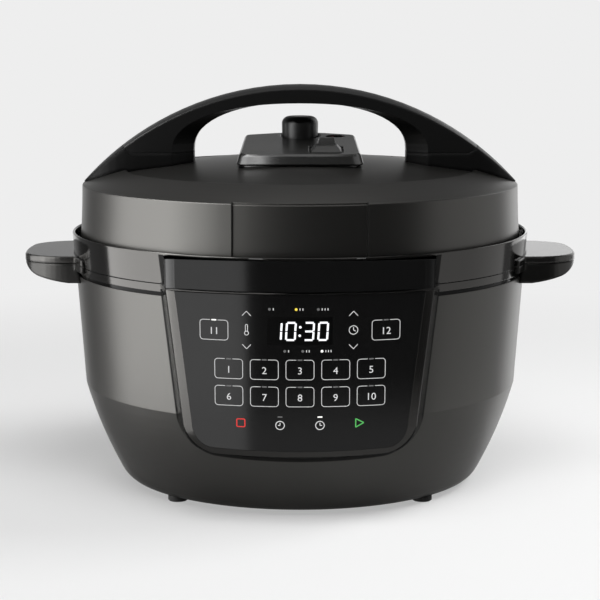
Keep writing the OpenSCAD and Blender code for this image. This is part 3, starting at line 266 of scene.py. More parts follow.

# %% [markdown]
# The painted shade of the gap starts at the outline and is a few millimetres wide. The housing
# was cut back further than the rim band, so below the band the gap is wider. Only the front of
# the cooker has it.

# %% Painted shade in the gap round the frame
gap_inside = -0.0002
gap_outside = 0.0026
gap_soft = 0.0004
gap_wider = 0.0018
band_foot = 0.165
frame_top = 0.1895
front_from = -0.12
front_to = -0.11


def off_the_gap(tree):
    """0 in the gap round the panel's frame, where shade is painted, 1 elsewhere."""
    x, y, z = own_place(tree)
    away = past_the_frame(tree, x, z)
    inside = soft_step(tree, away, gap_inside, gap_inside - gap_soft)
    wider = calc(tree, "MULTIPLY", calc(tree, "LESS_THAN", z, band_foot), gap_wider)
    narrowed = calc(tree, "SUBTRACT", away, wider)
    outside = soft_step(tree, narrowed, gap_outside, gap_outside + 3 * gap_soft)
    behind = soft_step(tree, y, front_from, front_to)
    above = calc(tree, "GREATER_THAN", z, frame_top)
    return chain(tree, "MAXIMUM", inside, outside, behind, above)


print("gap width in mm, beside the band and the housing:", gap_outside / mm, (gap_outside + gap_wider) / mm)

# %% [markdown]
# Shade is painted at two more places. The lid's skirt has a shallow field at its front, with an
# upright step at each end, and a groove runs under the rim band. Both are known by their place
# alone, so a comparison of x or z is enough.

# %% Painted shade on the lid's steps and in the band's groove
step_across = 0.0464
step_wide = 0.0009
skirt_top = 0.227
skirt_soft = 0.001
groove_top = 0.163


def off_the_lid_step(tree):
    """0 along the two upright steps in the lid's skirt, where shade is painted, 1 elsewhere."""
    x, y, z = own_place(tree)
    away = calc(tree, "ABSOLUTE", calc(tree, "SUBTRACT", calc(tree, "ABSOLUTE", x), step_across))
    aside = soft_step(tree, away, 0.5 * step_wide, step_wide)
    above = soft_step(tree, z, skirt_top, skirt_top + skirt_soft)
    below = calc(tree, "LESS_THAN", z, frame_top)
    behind = calc(tree, "GREATER_THAN", y, 0.0)
    return chain(tree, "MAXIMUM", aside, above, below, behind)


def above_groove(tree):
    """0 in the groove under the rim band, where shade is painted, 1 above it."""
    x, y, z = own_place(tree)
    return calc(tree, "GREATER_THAN", z, groove_top)


print("steps at x in mm:", -step_across / mm, step_across / mm, "groove below z:", groove_top / mm)

# %% [markdown]
# ## 5. Which way a surface seems to face
#
# A gloss surface shows its slope by what it mirrors. The frame's bevel leads in to the glass,
# but on such a panel it catches light like one that leads out. The steam cover's front is
# flat in the model, but mirrors the room as a slightly bowed face does. The shapes stay as CAD
# made them. Only the normal, the direction the shading believes the surface faces, is bent.

# %% Split a normal and put it together again
def normal_parts(tree, normal):
    """The x, y and z parts of a normal."""
    parts = add(tree, "ShaderNodeSeparateXYZ")
    join(tree, normal, "Normal", parts, "Vector")
    return [parts.outputs[axis] for axis in "XYZ"]


def use_normal(tree, shader, across, along, up):
    """Makes a normal of length 1 from three parts and gives it to the shader."""
    turned = add(tree, "ShaderNodeCombineXYZ")
    for axis, part in zip("XYZ", (across, along, up)):
        tree.links.new(part, turned.inputs[axis])
    unit = add(tree, "ShaderNodeVectorMath", operation="NORMALIZE")
    join(tree, turned, "Vector", unit, 0)
    join(tree, unit, "Vector", shader, "Normal")


print("normal helpers: normal_parts, use_normal")

# %% [markdown]
# The panel itself is bowed on a large radius, and its top stands a little forward of its foot,
# so its plain face has a known normal that points slightly down. `turn_bevel_out` keeps that
# and turns what differs from it, which is the bevel, to the outside. `bow_front` turns a face
# that looks forward the more, the further it is from the middle.

# %% Bend the shading
panel_curve = 320.0
lean_down = 0.093
down_share = 0.6


def turn_bevel_out(tree, shader, normal, strength):
    """Shades the bevel round the panel as if it led outward."""
    x, y, z = own_place(tree)
    faces_x, faces_y, faces_z = normal_parts(tree, normal)
    plain_x = calc(tree, "DIVIDE", x, panel_curve * mm)
    off_x = calc(tree, "ABSOLUTE", calc(tree, "SUBTRACT", faces_x, plain_x))
    off_z = calc(tree, "ABSOLUTE", calc(tree, "ADD", faces_z, lean_down))
    outward = chain(tree, "MULTIPLY", off_x, calc(tree, "SIGN", x), strength)
    downward = calc(tree, "MULTIPLY", off_z, strength * down_share)
    across = calc(tree, "ADD", plain_x, outward)
    up = calc(tree, "SUBTRACT", -lean_down, downward)
    use_normal(tree, shader, across, faces_y, up)


def bow_front(tree, shader, normal, strength):
    """Shades a flat front as if it were slightly bowed."""
    x, y, z = own_place(tree)
    faces_x, faces_y, faces_z = normal_parts(tree, normal)
    forward = calc(tree, "MAXIMUM", calc(tree, "MULTIPLY", faces_y, -1.0), 0.0)
    swing = chain(tree, "MULTIPLY", x, forward, strength)
    use_normal(tree, shader, calc(tree, "ADD", faces_x, swing), faces_y, faces_z)


print("panel radius in mm:", panel_curve)

# %% [markdown]
# ## 6. One recipe for every finish
#
# A real moulding or pressing is never perfectly even. One flat colour would look like a
# drawing, and an image of each surface would be heavy and would not follow a change of size.
# So a fine noise, fixed to the part, varies both the colour and the roughness a little.

# %% Noise, uneven colour and painted seam shade
noise_detail = 3
seam_shade_black = 0.002
light_left_in_shade = 0.15


def fixed_noise(tree, grain, stretch):
    """A fine noise that moves with the part."""
    place = add(tree, "ShaderNodeTexCoord")
    scale = add(tree, "ShaderNodeMapping", Scale=stretch)
    noise = add(tree, "ShaderNodeTexNoise", Scale=grain, Detail=noise_detail)
    join(tree, place, "Object", scale, "Vector")
    join(tree, scale, "Vector", noise, "Vector")
    return noise


def uneven_colour(tree, noise, colour, uneven):
    """The colour, a little darker or lighter with the noise."""
    mix = add(tree, "ShaderNodeMix", data_type="RGBA")
    darker = [channel * (1 - uneven) for channel in colour]
    lighter = [min(1, channel * (1 + uneven)) for channel in colour]
    mix.inputs["A"].default_value = (*darker, 1)
    mix.inputs["B"].default_value = (*lighter, 1)
    join(tree, noise, "Fac", mix, "Factor")
    return mix


def darken(tree, shader, mix, lit, metal, shine):
    """Paints shade: takes colour, metal and shine away where a signal says that no light gets out."""
    tint = add(tree, "ShaderNodeMix", data_type="RGBA")
    tint.inputs["A"].default_value = grey(seam_shade_black)
    tree.links.new(lit, tint.inputs["Factor"])
    tree.links.new(mix.outputs["Result"], tint.inputs["B"])
    tree.links.new(calc(tree, "MULTIPLY", lit, metal), shader.inputs["Metallic"])
    tree.links.new(calc(tree, "MULTIPLY", lit, shine), shader.inputs["Specular IOR Level"])
    return tint


print("light left in a seam:", light_left_in_shade)

# %% [markdown]
# `finish` puts the steps together. A tool always leaves a small radius on an edge. Rounding
# every edge in the mesh would take many faces, so a bevel node rounds only the light on it.
# Each finish goes into one list, so that the parts can be dressed by name.

# %% The recipe
finishes = {}
bump_strength = 0.5


def finish(name, colour, rough, metal=0.0, shine=0.5, grain=400.0, stretch=(1, 1, 1), uneven=0.06,
           dent=0.0, edge=0.0, seam=0.0, shade_places=(), turn_out=0.0, bow=0.0):
    """A material whose colour, roughness and surface vary with a fine noise."""
    material, tree = new_material(name)
    out = add(tree, "ShaderNodeOutputMaterial")
    shader = add(tree, "ShaderNodeBsdfPrincipled")
    shader.inputs["Metallic"].default_value = metal
    shader.inputs["Specular IOR Level"].default_value = shine
    join(tree, shader, "BSDF", out, "Surface")

    noise = fixed_noise(tree, grain, stretch)
    roughness = spread(tree, noise.outputs["Fac"], rough * (1 - uneven), rough * (1 + uneven))
    tree.links.new(roughness, shader.inputs["Roughness"])
    tint = uneven_colour(tree, noise, colour, uneven)
    # Shade is painted into the colour in narrow seams and at the places listed.
    if seam:
        lit = out_of_seams(tree, seam)
        for shade_place in shade_places:
            lit = calc(tree, "MINIMUM", lit, shade_place(tree))
        lit = calc(tree, "MAXIMUM", lit, light_left_in_shade)
        tint = darken(tree, shader, tint, lit, metal, shine)
    join(tree, tint, "Result", shader, "Base Color")

    if edge:
        normal = add(tree, "ShaderNodeBevel", samples=4)
        normal.inputs["Radius"].default_value = edge
        join(tree, normal, "Normal", shader, "Normal")
        if turn_out:
            turn_bevel_out(tree, shader, normal, turn_out)
        if bow:
            bow_front(tree, shader, normal, bow)
    if dent:
        bump = add(tree, "ShaderNodeBump", Strength=bump_strength, Distance=dent)
        join(tree, noise, "Fac", bump, "Height")
        join(tree, bump, "Normal", shader, "Normal")
    finishes[name] = material
    return material


print("finishes so far:", len(finishes))

# %% [markdown]
# ## 7. The finishes of the outside
#
# The cooker looks plain black, but it wears several blacks, and they differ in how they
# mirror. The housing and the lid have a satin metallic paint, the rim band a gloss one, and
# the side handles two in between. A paint with metal flakes mirrors its surroundings in its
# own dark grey, so `metal` is 1 and the colour is what it mirrors at a right angle.

# %% Metallic paints
fine_edge = 0.0005
gloss_grey = (0.080, 0.078, 0.075)

finish("satin paint", (0.105, 0.103, 0.098), 0.36, metal=1.0, grain=2600, edge=0.0008,
       seam=0.003, shade_places=(off_the_gap, off_the_lid_step))
finish("gloss paint", gloss_grey, 0.10, metal=1.0, grain=900, edge=fine_edge,
       seam=0.003, shade_places=(off_the_gap, above_groove))
finish("frame paint", gloss_grey, 0.14, metal=1.0, grain=900, edge=fine_edge,
       seam=0.002, shade_places=(off_the_gap,), turn_out=1.4)
finish("grip plastic", (0.060, 0.059, 0.057), 0.30, metal=1.0, grain=1800, edge=0.0030)
finish("grip paint", (0.085, 0.083, 0.080), 0.24, metal=1.0, grain=900, edge=0.0022)
print("metallic paints:", len(finishes))

# %% [markdown]
# The panel, the bridge handle, the steam cover and the feet are bare plastic, glass or rubber.
# These mirror little straight on and much at a low angle, which a shader does by itself when
# `metal` is 0. `shine` sets how much: low for the grained handle, high for the smooth cover.

# %% Plastics, glass and rubber
deep_black = (0.006, 0.006, 0.006)

finish("gloss black", deep_black, 0.12, shine=0.42, grain=1200, edge=fine_edge, turn_out=1.6)
finish("black glass", (0.005, 0.005, 0.005), 0.13, grain=60, uneven=0.05)
finish("handle plastic", deep_black, 0.36, shine=0.3, grain=2200, edge=0.0006)
finish("end plastic", deep_black, 0.40, shine=0.12, grain=2200, edge=0.0040)
finish("cover plastic", (0.011, 0.011, 0.0105), 0.23, shine=1.0, grain=2200, edge=0.0009, bow=12.0)
finish("knob plastic", (0.008, 0.008, 0.0075), 0.38, shine=1.0, grain=2400, edge=0.0012)
finish("inner plastic", (0.022, 0.022, 0.021), 0.55, grain=1500)
finish("cup plastic", (0.040, 0.040, 0.038), 0.30, grain=900, edge=fine_edge)
finish("foot rubber", (0.014, 0.014, 0.013), 0.75, grain=1600, dent=0.00003)
print("outside finishes:", len(finishes))

# %% [markdown]
# ## 8. The finishes of the inside
#
# Inside are bare metals, circuit boards and a silicone seal. The pot and the lid plate show
# when the lid is off. The pot and its liner are brushed: brush lines could be cut into the
# mesh, but they are far finer than its faces, so their noise is stretched into lines instead.

# %% Metals, boards and silicone
finish("bright steel", (0.56, 0.55, 0.53), 0.30, metal=1.0, grain=500)
finish("brushed steel", (0.60, 0.59, 0.57), 0.28, metal=1.0, grain=90, stretch=(1, 1, 40))
finish("cast aluminium", (0.55, 0.55, 0.55), 0.48, metal=1.0, grain=700, dent=0.00002)
finish("zinc screw", (0.48, 0.47, 0.44), 0.35, metal=1.0, grain=800, edge=0.0002)
finish("brass", (0.62, 0.43, 0.18), 0.28, metal=1.0, grain=700)
finish("green board", (0.020, 0.115, 0.045), 0.42, grain=300, uneven=0.15)
finish("winding", (0.42, 0.15, 0.05), 0.40, metal=0.6, grain=900, stretch=(1, 1, 8))
finish("relay plastic", (0.030, 0.105, 0.290), 0.38, grain=900)
finish("fuse ceramic", (0.72, 0.70, 0.66), 0.50, grain=700)
finish("silicone", (0.70, 0.70, 0.68), 0.42, grain=260, uneven=0.04)
finish("red silicone", (0.80, 0.040, 0.030), 0.40, grain=500)
print("all finishes:", len(finishes))

# %% [markdown]
# ## 9. Dress the parts
#
# Each part takes its finish by name. A part that was left out would keep a flat colour, and
# deep inside nobody would notice, so the cell stops if one is missing.

# %% Which finish goes on which part
worn_by = {
    "satin paint": "body_shell lid_cover",
    "gloss paint": "rim_band",
    "grip paint": "left_grip_cover right_grip_cover",
    "frame paint": "panel_frame",
    "gloss black": "panel_strip",
    "black glass": "panel_glass",
    "grip plastic": "left_grip right_grip",
    "handle plastic": "handle_bridge",
    "end plastic": "left_handle_foot right_handle_foot",
    "cover plastic": "steam_cover",
    "knob plastic": "steam_knob quick_release",
    "inner plastic": "base_plate display_module power_inlet sensor_guide collector_bay inlet_housing",
    "cup plastic": "condensation_cup",
    "foot rubber": "feet",
    "bright steel": "locking_ring lid_plate steam_pipe pipe_nut steam_shield seal_rack "
                    "sensor_spring heater_posts",
    "brushed steel": "inner_pot cooker_liner",
    "cast aluminium": "heating_plate temperature_sensor heating_ring valve_weight",
    "zinc screw": "base_screws board_screws inlet_screws handle_screws lid_screws",
    "brass": "inlet_pins",
    "green board": "control_board power_board",
    "winding": "transformer",
    "relay plastic": "relay",
    "fuse ceramic": "thermal_fuse",
    "silicone": "sealing_ring float_cap",
    "red silicone": "float_valve",
}
dressed = set()
for finish_name, part_names in worn_by.items():
    for part_name in part_names.split():
        for place in nodes[part_name].material_slots:
            place.material = finishes[finish_name]
        dressed.add(part_name)

missing = set(nodes) - dressed
print("dressed parts:", len(dressed), "left out:", sorted(missing))
if missing:
    raise SystemExit("some parts have no finish")

# %% [markdown]
# ## 10. A copy of the spring
#
# The spring under the temperature sensor is a coil between a fixed guide and a part that is
# pushed down 2 mm. A rigid part can't shorten: the sensor would sink into it. So a copy of
# the coil, with a mesh of its own, stands for it. The real coil flattens towards the guide as
# the sensor goes down.

spring = bpy.data.objects.new("sensor_coil", nodes["sensor_spring"].data.copy())
bpy.context.scene.collection.objects.link(spring)
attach(spring, "base")
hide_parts("sensor_spring")
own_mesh(spring)

# %% [markdown]
# ## 11. The curved panel as a drawing sheet
#
# The glass bows outward, and its top stands 13 mm forward of its foot. A flat print would cut
# through it or float off it, so `on_glass` turns a place on the flat drawing, in millimetres
# across and up, into a place just above the glass. Everything printed on the panel goes
# through it and follows the curve.

# %% From the flat drawing to the curved glass
top_forward = 13.0
panel_rise = 139.0
panel_lean = math.atan(top_forward / panel_rise)
panel_foot = (0.0, -163.0, 50.0)
glass_inset = 1.2
print_lift = 0.06


def on_glass(across, up, lift=print_lift):
    """A point on the drawing, in the cooker's frame, in metres."""
    out = math.sqrt((panel_curve + lift - glass_inset) ** 2 - across ** 2) - panel_curve
    y = panel_foot[1] - out * math.cos(panel_lean) - up * math.sin(panel_lean)
    z = panel_foot[2] + up * math.cos(panel_lean) - out * math.sin(panel_lean)
    return (across * mm, y * mm, z * mm)


glass_low, glass_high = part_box("panel_glass")
print("glass front at mid height, y in mm:", round(on_glass(0, 60, 0)[1] / mm, 2))
print("glass box, y in mm:", round(glass_low[1] / mm, 2), round(glass_high[1] / mm, 2))

# %% [markdown]
# ## 12. Drawing tools
#
# The print could be an image on the glass, but it would blur close up. So each ink is a thin
# sheet of faces instead. A `Print` collects the faces of one ink, and a long stroke is cut
# into short steps, so that it can bend with the glass.

# %% Strokes and dots
stroke_step = 2.0


class Print:
    """Faces of one ink on the flat drawing, in millimetres."""

    def __init__(self):
        self.points = []
        self.faces = []

    def face(self, corners):
        """One flat face from its corners."""
        start = len(self.points)
        self.points += corners
        self.faces.append(tuple(range(start, start + len(corners))))

    def line(self, a, b, width):
        """A straight stroke, cut into short steps."""
        length = math.dist(a, b)
        steps = max(1, math.ceil(length / stroke_step))
        side_x = -(b[1] - a[1]) / length * width / 2
        side_y = (b[0] - a[0]) / length * width / 2
        for step in range(steps):
            ends = []
            for share in (step / steps, (step + 1) / steps):
                ends.append((a[0] + (b[0] - a[0]) * share, a[1] + (b[1] - a[1]) * share))
            (x0, y0), (x1, y1) = ends
            self.face([(x0 - side_x, y0 - side_y), (x1 - side_x, y1 - side_y),
                       (x1 + side_x, y1 + side_y), (x0 + side_x, y0 + side_y)])

    def path(self, points, width):
        """Strokes from point to point."""
        for a, b in zip(points, points[1:]):
            self.line(a, b, width)

    def dot(self, x, y, radius, sides=20):
        """A filled round dot."""
        turn = 2 * math.pi / sides
        self.face([(x + radius * math.cos(i * turn), y + radius * math.sin(i * turn))
                   for i in range(sides)])


print("a stroke bends every", stroke_step, "mm")

# %% [markdown]
# A key's outline is a rounded rectangle: four quarter rings for its corners and straight
# strokes between them. Its top edge has a gap in the middle, where the key's lamp sits.

# %% Rings and key outlines
corner_steps = 6


def ring(sheet, x, y, radius, width, start=0.0, end=360.0, steps=24):
    """A round line, or a part of one."""
    angles = [math.radians(start + (end - start) * i / steps) for i in range(steps + 1)]
    inner = radius - width / 2
    outer = radius + width / 2
    for a, b in zip(angles, angles[1:]):
        sheet.face([(x + inner * math.cos(a), y + inner * math.sin(a)),
                    (x + outer * math.cos(a), y + outer * math.sin(a)),
                    (x + outer * math.cos(b), y + outer * math.sin(b)),
                    (x + inner * math.cos(b), y + inner * math.sin(b))])


def outline(sheet, x, y, wide, high, corner, width, gap=0.0):
    """A rounded rectangle. The gap leaves its top edge open."""
    half_w = wide / 2
    half_h = high / 2
    for right, top, angle in ((1, 1, 0), (-1, 1, 90), (-1, -1, 180), (1, -1, 270)):
        corner_x = x + right * (half_w - corner)
        corner_y = y + top * (half_h - corner)
        ring(sheet, corner_x, corner_y, corner, width, angle, angle + 90, corner_steps)
    for side in (-1, 1):
        edge = x + side * half_w
        sheet.line((edge, y - half_h + corner), (edge, y + half_h - corner), width)
        sheet.line((x + side * gap / 2, y + half_h), (edge - side * corner, y + half_h), width)
    sheet.line((x - half_w + corner, y - half_h), (x + half_w - corner, y - half_h), width)


print("faces in a key's corner:", corner_steps)

# %% [markdown]
# The keys carry plain numbers. Their figures could be drawn stroke by stroke, but Blender's
# own font has even, readable ones: a text object is turned into a mesh and its faces are
# added to the print. `lay` then makes one thin piece of a whole ink, so few pieces are needed.

# %% Numerals, and laying a print
def numeral(sheet, text, x, y, size):
    """A plain number, centred on x and y."""
    curve = bpy.data.curves.new("numeral", "FONT")
    curve.body = text
    curve.size = size
    curve.align_x = "CENTER"
    curve.resolution_u = 3
    holder = bpy.data.objects.new("numeral", curve)
    bpy.context.scene.collection.objects.link(holder)
    bpy.context.view_layer.update()
    shape = holder.to_mesh()
    low = min(v.co.y for v in shape.vertices)
    high = max(v.co.y for v in shape.vertices)
    start = len(sheet.points)
    sheet.points += [(x + v.co.x, y + v.co.y - (low + high) / 2) for v in shape.vertices]
    sheet.faces += [tuple(start + i for i in face.vertices) for face in shape.polygons]
    holder.to_mesh_clear()
    bpy.data.objects.remove(holder)
    bpy.data.curves.remove(curve)


def lay(sheet, name, ink, place=on_glass):
    """One thin piece from everything drawn on a sheet."""
    mesh = bpy.data.meshes.new(name)
    mesh.from_pydata([place(x, y) for x, y in sheet.points], [], sheet.faces)
    mesh.materials.append(ink)
    piece = bpy.data.objects.new(name, mesh)
    bpy.context.scene.collection.objects.link(piece)
    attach(piece, "base")
    print(name, "faces:", len(sheet.faces))
    return piece


print("drawing tools: Print, ring, outline, numeral, lay")

# %% [markdown]
# ## 13. The inks
#
# The print on the glass is lit from behind. Real lamps under it would cost much time to
# render, so each ink glows a little by itself. A fine noise keeps the glow from being
# perfectly even. Dim lamps use the same recipe with less light.

# %% Inks and lamps
ink_rough = 0.4
ink_grain = 700.0
ink_uneven = 0.08


def ink(name, colour, glow):
    """A printed or lit colour with a slightly uneven glow."""
    material, tree = new_material(name)
    out = add(tree, "ShaderNodeOutputMaterial")
    shader = add(tree, "ShaderNodeBsdfPrincipled", Roughness=ink_rough)
    shader.inputs["Base Color"].default_value = (*[channel * 0.5 for channel in colour], 1)
    shader.inputs["Emission Color"].default_value = (*colour, 1)
    join(tree, shader, "BSDF", out, "Surface")
    place = add(tree, "ShaderNodeTexCoord")
    noise = add(tree, "ShaderNodeTexNoise", Scale=ink_grain)
    join(tree, place, "Object", noise, "Vector")
    strength = spread(tree, noise.outputs["Fac"], glow * (1 - ink_uneven), glow * (1 + ink_uneven))
    tree.links.new(strength, shader.inputs["Emission Strength"])
    return material


white_ink = ink("white ink", (0.80, 0.80, 0.80), 0.62)
display_light = ink("display light", (0.96, 0.97, 1.0), 1.0)
lit_lamp = ink("lit lamp", (1.0, 1.0, 0.96), 1.0)
dim_lamp = ink("dim lamp", (0.28, 0.28, 0.28), 0.25)
amber_lamp = ink("amber lamp", (0.95, 0.72, 0.08), 1.0)
red_ink = ink("red ink", (0.75, 0.035, 0.030), 0.75)
green_ink = ink("green ink", (0.10, 0.50, 0.12), 0.75)
window_black = finish("window black", (0.002, 0.002, 0.002), 0.45, shine=0.1, grain=900)
print("materials in all:", len(bpy.data.materials))

# %% [markdown]
# ## 14. The keys
#
# Ten small keys stand in two rows below the display, with one more at each side of it. Words
# would tie the panel to one product, so each key has a plain number in its rounded outline.
# One loop draws them all, and the lamp of the key in use is lit.

# %% Keys with numbers
key_wide = 19.3
key_high = 14.1
key_corner = 2.2
key_line = 0.42
key_pitch = 24.55
row_up = (62.9, 43.5)
side_across = 59.0
side_up = 90.2
numeral_size = 7.2
numeral_drop = 0.6
lamp_wide = 3.3
lamp_thick = 0.95
lamp_gap = 5.2
key_in_use = 11

keys = [(column * key_pitch, up) for up in row_up for column in range(-2, 3)]
keys += [(-side_across, side_up), (side_across, side_up)]
key_print = Print()
key_lamps = Print()
key_lit = Print()
for number, (across, up) in enumerate(keys, start=1):
    outline(key_print, across, up, key_wide, key_high, key_corner, key_line, lamp_gap)
    numeral(key_print, str(number), across, up - numeral_drop, numeral_size)
    lamp = key_lit if number == key_in_use else key_lamps
    top = up + key_high / 2
    lamp.line((across - lamp_wide / 2, top), (across + lamp_wide / 2, top), lamp_thick)
print("keys:", len(keys))

# %% [markdown]
# Under the keys is a row of four plain marks: a stop square in red, two timer rings with a
# lamp above each, and a start triangle in green. Red and green are inks of their own, so the
# square and the triangle go on their own sheets.

# %% The bottom row
mark_across = 41.0
mark_up = 24.1
mark_line = 0.8
stop_side = 5.6
stop_corner = 0.8
start_back = 2.4
start_tip = 3.2
start_half = 3.1
ring_across = 13.8
ring_up = 22.9
ring_radius = 3.0
ring_line = 0.6
hand_line = 0.55
long_hand = 2.0
short_hand = 1.5
ring_lamp_up = 29.0

stop_mark = Print()
outline(stop_mark, -mark_across, mark_up, stop_side, stop_side, stop_corner, mark_line)
start_mark = Print()
back = mark_across - start_back
tip = (mark_across + start_tip, mark_up)
start_mark.path([(back, mark_up - start_half), tip, (back, mark_up + start_half),
                 (back, mark_up - start_half)], mark_line)
for side in (-1, 1):
    centre = side * ring_across
    ring(key_print, centre, ring_up, ring_radius, ring_line)
    key_print.line((centre, ring_up), (centre, ring_up + long_hand), hand_line)
    key_print.line((centre, ring_up), (centre + side * short_hand, ring_up), hand_line)
    lamp = key_lit if side > 0 else key_lamps
    lamp.line((centre - lamp_wide / 2, ring_lamp_up), (centre + lamp_wide / 2, ring_lamp_up), lamp_thick)
print("faces of the stop and start marks:", len(stop_mark.faces), len(start_mark.faces))

# %% [markdown]
# ## 15. The display and what stands round it
#
# The display shows four seven-bar figures and a colon, here a plain time. Each figure is a set
# of bars, as on the real display: `a` is the top one, and the letters go clockwise, with `g`
# in the middle. The bars stop short of each other and lean a little to the right.

# %% The figures
figure_high = 13.6
figure_wide = 7.4
figure_pitch = 9.6
figure_slant = 0.06
bar_thick = 1.35
bar_gap = 0.35
display_up = 90.4
bars_lit = {"0": "abcdef", "1": "bc", "3": "abcdg"}


def figure(sheet, digit, x, y):
    """Draws one seven-bar figure."""
    half_w = (figure_wide - bar_thick) / 2
    half_h = (figure_high - bar_thick) / 2
    ends = {
        "a": (-half_w, half_h, half_w, half_h),
        "b": (half_w, half_h, half_w, 0),
        "c": (half_w, 0, half_w, -half_h),
        "d": (half_w, -half_h, -half_w, -half_h),
        "e": (-half_w, -half_h, -half_w, 0),
        "f": (-half_w, 0, -half_w, half_h),
        "g": (-half_w, 0, half_w, 0),
    }
    for bar in bars_lit[digit]:
        x0, y0, x1, y1 = ends[bar]
        length = math.dist((x0, y0), (x1, y1))
        pull_x = (x1 - x0) / length * bar_gap
        pull_y = (y1 - y0) / length * bar_gap
        y0 += pull_y
        y1 -= pull_y
        a = (x + x0 + pull_x + y0 * figure_slant, y + y0)
        b = (x + x1 - pull_x + y1 * figure_slant, y + y1)
        sheet.line(a, b, bar_thick)


print("figures that can be drawn:", sorted(bars_lit))

# %% [markdown]
# Behind the figures the glass has a darker window. It is one broad stroke on its own sheet,
# and it is laid closer to the glass than the figures, so that the two never share a surface.

# %% The time and its window
window_half = 22.4
window_high = 19.6
shown_time = "1030"
figure_places = (-1.65, -0.65, 0.65, 1.65)
colon_lean = 0.2
colon_half = 3.0
colon_radius = 0.9

window = Print()
window.line((-window_half, display_up), (window_half, display_up), window_high)
display = Print()
for place, digit in zip(figure_places, shown_time):
    figure(display, digit, place * figure_pitch, display_up)
for side in (-1, 1):
    display.dot(side * colon_lean, display_up + side * colon_half, colon_radius)
print("faces of the window and the figures:", len(window.faces), len(display.faces))

# %% [markdown]
# Arrows for less and more stand beside the display. Each is a bent stroke, and the lower one
# is the upper one turned over, so `point` is 1 for up and -1 for down.

# %% Arrows
arrow_across = 36.6
arrow_ups = (79.1, 102.6)
arrow_wide = 6.0
arrow_high = 3.2
arrow_line = 0.45

for side in (-1, 1):
    for up, point in zip(arrow_ups, (-1, 1)):
        middle = side * arrow_across
        base = up - point * arrow_high / 2
        key_print.path([(middle - arrow_wide / 2, base), (middle, base + point * arrow_high),
                        (middle + arrow_wide / 2, base)], arrow_line)
print("arrows:", 2 * len(arrow_ups))

# %% [markdown]
# Small status dots stand above and below the display. In place of words, each has one, two or
# three short bars for its setting. Two of the dots are lit, one in amber and one in white.

# %% Status dots
status_up = 105.9
level_up = 76.3
dot_radius = 0.95
bars_from = 2.6
bar_half = 0.8
status_bar = 0.6
status_pitch = 2.0
level_pitch = 1.8


def setting(sheet, across, up, bars, pitch):
    """A dot with short bars beside it."""
    sheet.dot(across, up, dot_radius)
    for bar in range(bars):
        x = across + bars_from + bar * pitch
        key_print.line((x, up - bar_half), (x, up + bar_half), status_bar)


status_lamps = Print()
amber_dot = Print()
for across, bars in ((-20.8, 1), (-2.6, 2), (12.5, 3)):
    setting(amber_dot if bars == 2 else status_lamps, across, status_up, bars, status_pitch)
for across, bars in ((-10.4, 1), (1.9, 2), (15.1, 3)):
    setting(key_lit if bars == 3 else status_lamps, across, level_up, bars, level_pitch)
print("dim dots:", len(status_lamps.faces), "amber dots:", len(amber_dot.faces))

# %% [markdown]
# A thermometer stands between the left pair of arrows and a clock between the right pair.
# Both are plain signs made from the same rings and strokes as the keys.

# %% Thermometer and clock
sign_up = 90.9
sign_line = 0.5
bulb_radius = 1.4
bulb_drop = 2.2
tube_half = 0.75
tube_line = 0.45
tube_foot = 1.0
tube_top = 3.2
clock_radius = 3.0
hand_drop = 0.8

ring(key_print, -arrow_across, sign_up - bulb_drop, bulb_radius, sign_line)
for side in (-1, 1):
    wall = -arrow_across + side * tube_half
    key_print.line((wall, sign_up - tube_foot), (wall, sign_up + tube_top), tube_line)
ring(key_print, -arrow_across, sign_up + tube_top, tube_half, tube_line, 0, 180, 10)
ring(key_print, arrow_across, sign_up, clock_radius, sign_line)
clock = (arrow_across, sign_up)
key_print.line(clock, (arrow_across, sign_up + long_hand), sign_line)
key_print.line(clock, (arrow_across + short_hand, sign_up - hand_drop), sign_line)
print("faces of the white print:", len(key_print.faces))

# %% [markdown]
# ## 16. Marks on the rim band
#
# Two short dashes on the rim band show where the lid's mark must stand. They lie on the band's
# round wall and not on the panel, so `on_band` bends them round the cooker's axis instead.

# %% Dashes on the band
band_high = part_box("rim_band")[1]
mark_radius = band_high[0] / mm + print_lift
mark_z = 190.2
left_dash = (-34.9, -25.4)
left_dash_line = 0.5
right_dash = (38.6, 44.7)
right_dash_line = 0.4


def on_band(across, up):
    """A point on the band's wall, in the cooker's frame, in metres."""
    return (across * mm, -math.sqrt(mark_radius ** 2 - across ** 2) * mm, (mark_z + up) * mm)


band_marks = Print()
band_marks.line((left_dash[0], 0), (left_dash[1], 0), left_dash_line)
band_marks.line((right_dash[0], 0), (right_dash[1], 0), right_dash_line)
# The dashes take the dim lamp ink. No lamp sits behind the band, so besides their pale colour they carry a
# faint painted glow.
lay(band_marks, "band_marks", dim_lamp, on_band)
print("band radius in mm:", round(band_high[0] / mm, 2))

# %% [markdown]
# Every sheet is now complete, so each becomes one piece of its own ink. They all ride on the
# base, as the panel does, and stay on the glass while the lid and the pot move.

# %% Lay every ink on the glass
def on_window(across, up):
    """A point between the glass and the print."""
    return on_glass(across, up, print_lift / 2)


lay(key_print, "panel_print", white_ink)
lay(key_lamps, "key_lamps", dim_lamp)
lay(key_lit, "lit_lamps", lit_lamp)
lay(status_lamps, "status_lamps", dim_lamp)
lay(amber_dot, "amber_lamp", amber_lamp)
lay(stop_mark, "stop_mark", red_ink)
lay(start_mark, "start_mark", green_ink)
lay(window, "display_window", window_black, on_window)
lay(display, "display_figures", display_light)

# %% [markdown]
# ## 17. The studio floor
#
# A pale floor runs far back. A curved paper sweep would be the usual way, but it would show
# its bend from other sides. So the floor is flat. Near the cooker it is about half matt paper,
# which keeps the shadow, and half an even glow in the same colour, which keeps it soft.
# Farther off only the glow is left, and it meets the backdrop without a horizon. The glow is
# there for the camera alone and lights nothing. Reflections and shadow rays see the near floor
# thinned, and farther off only the room.

# %% The floor's sheet
paper = 0.855
floor_size = 12.0

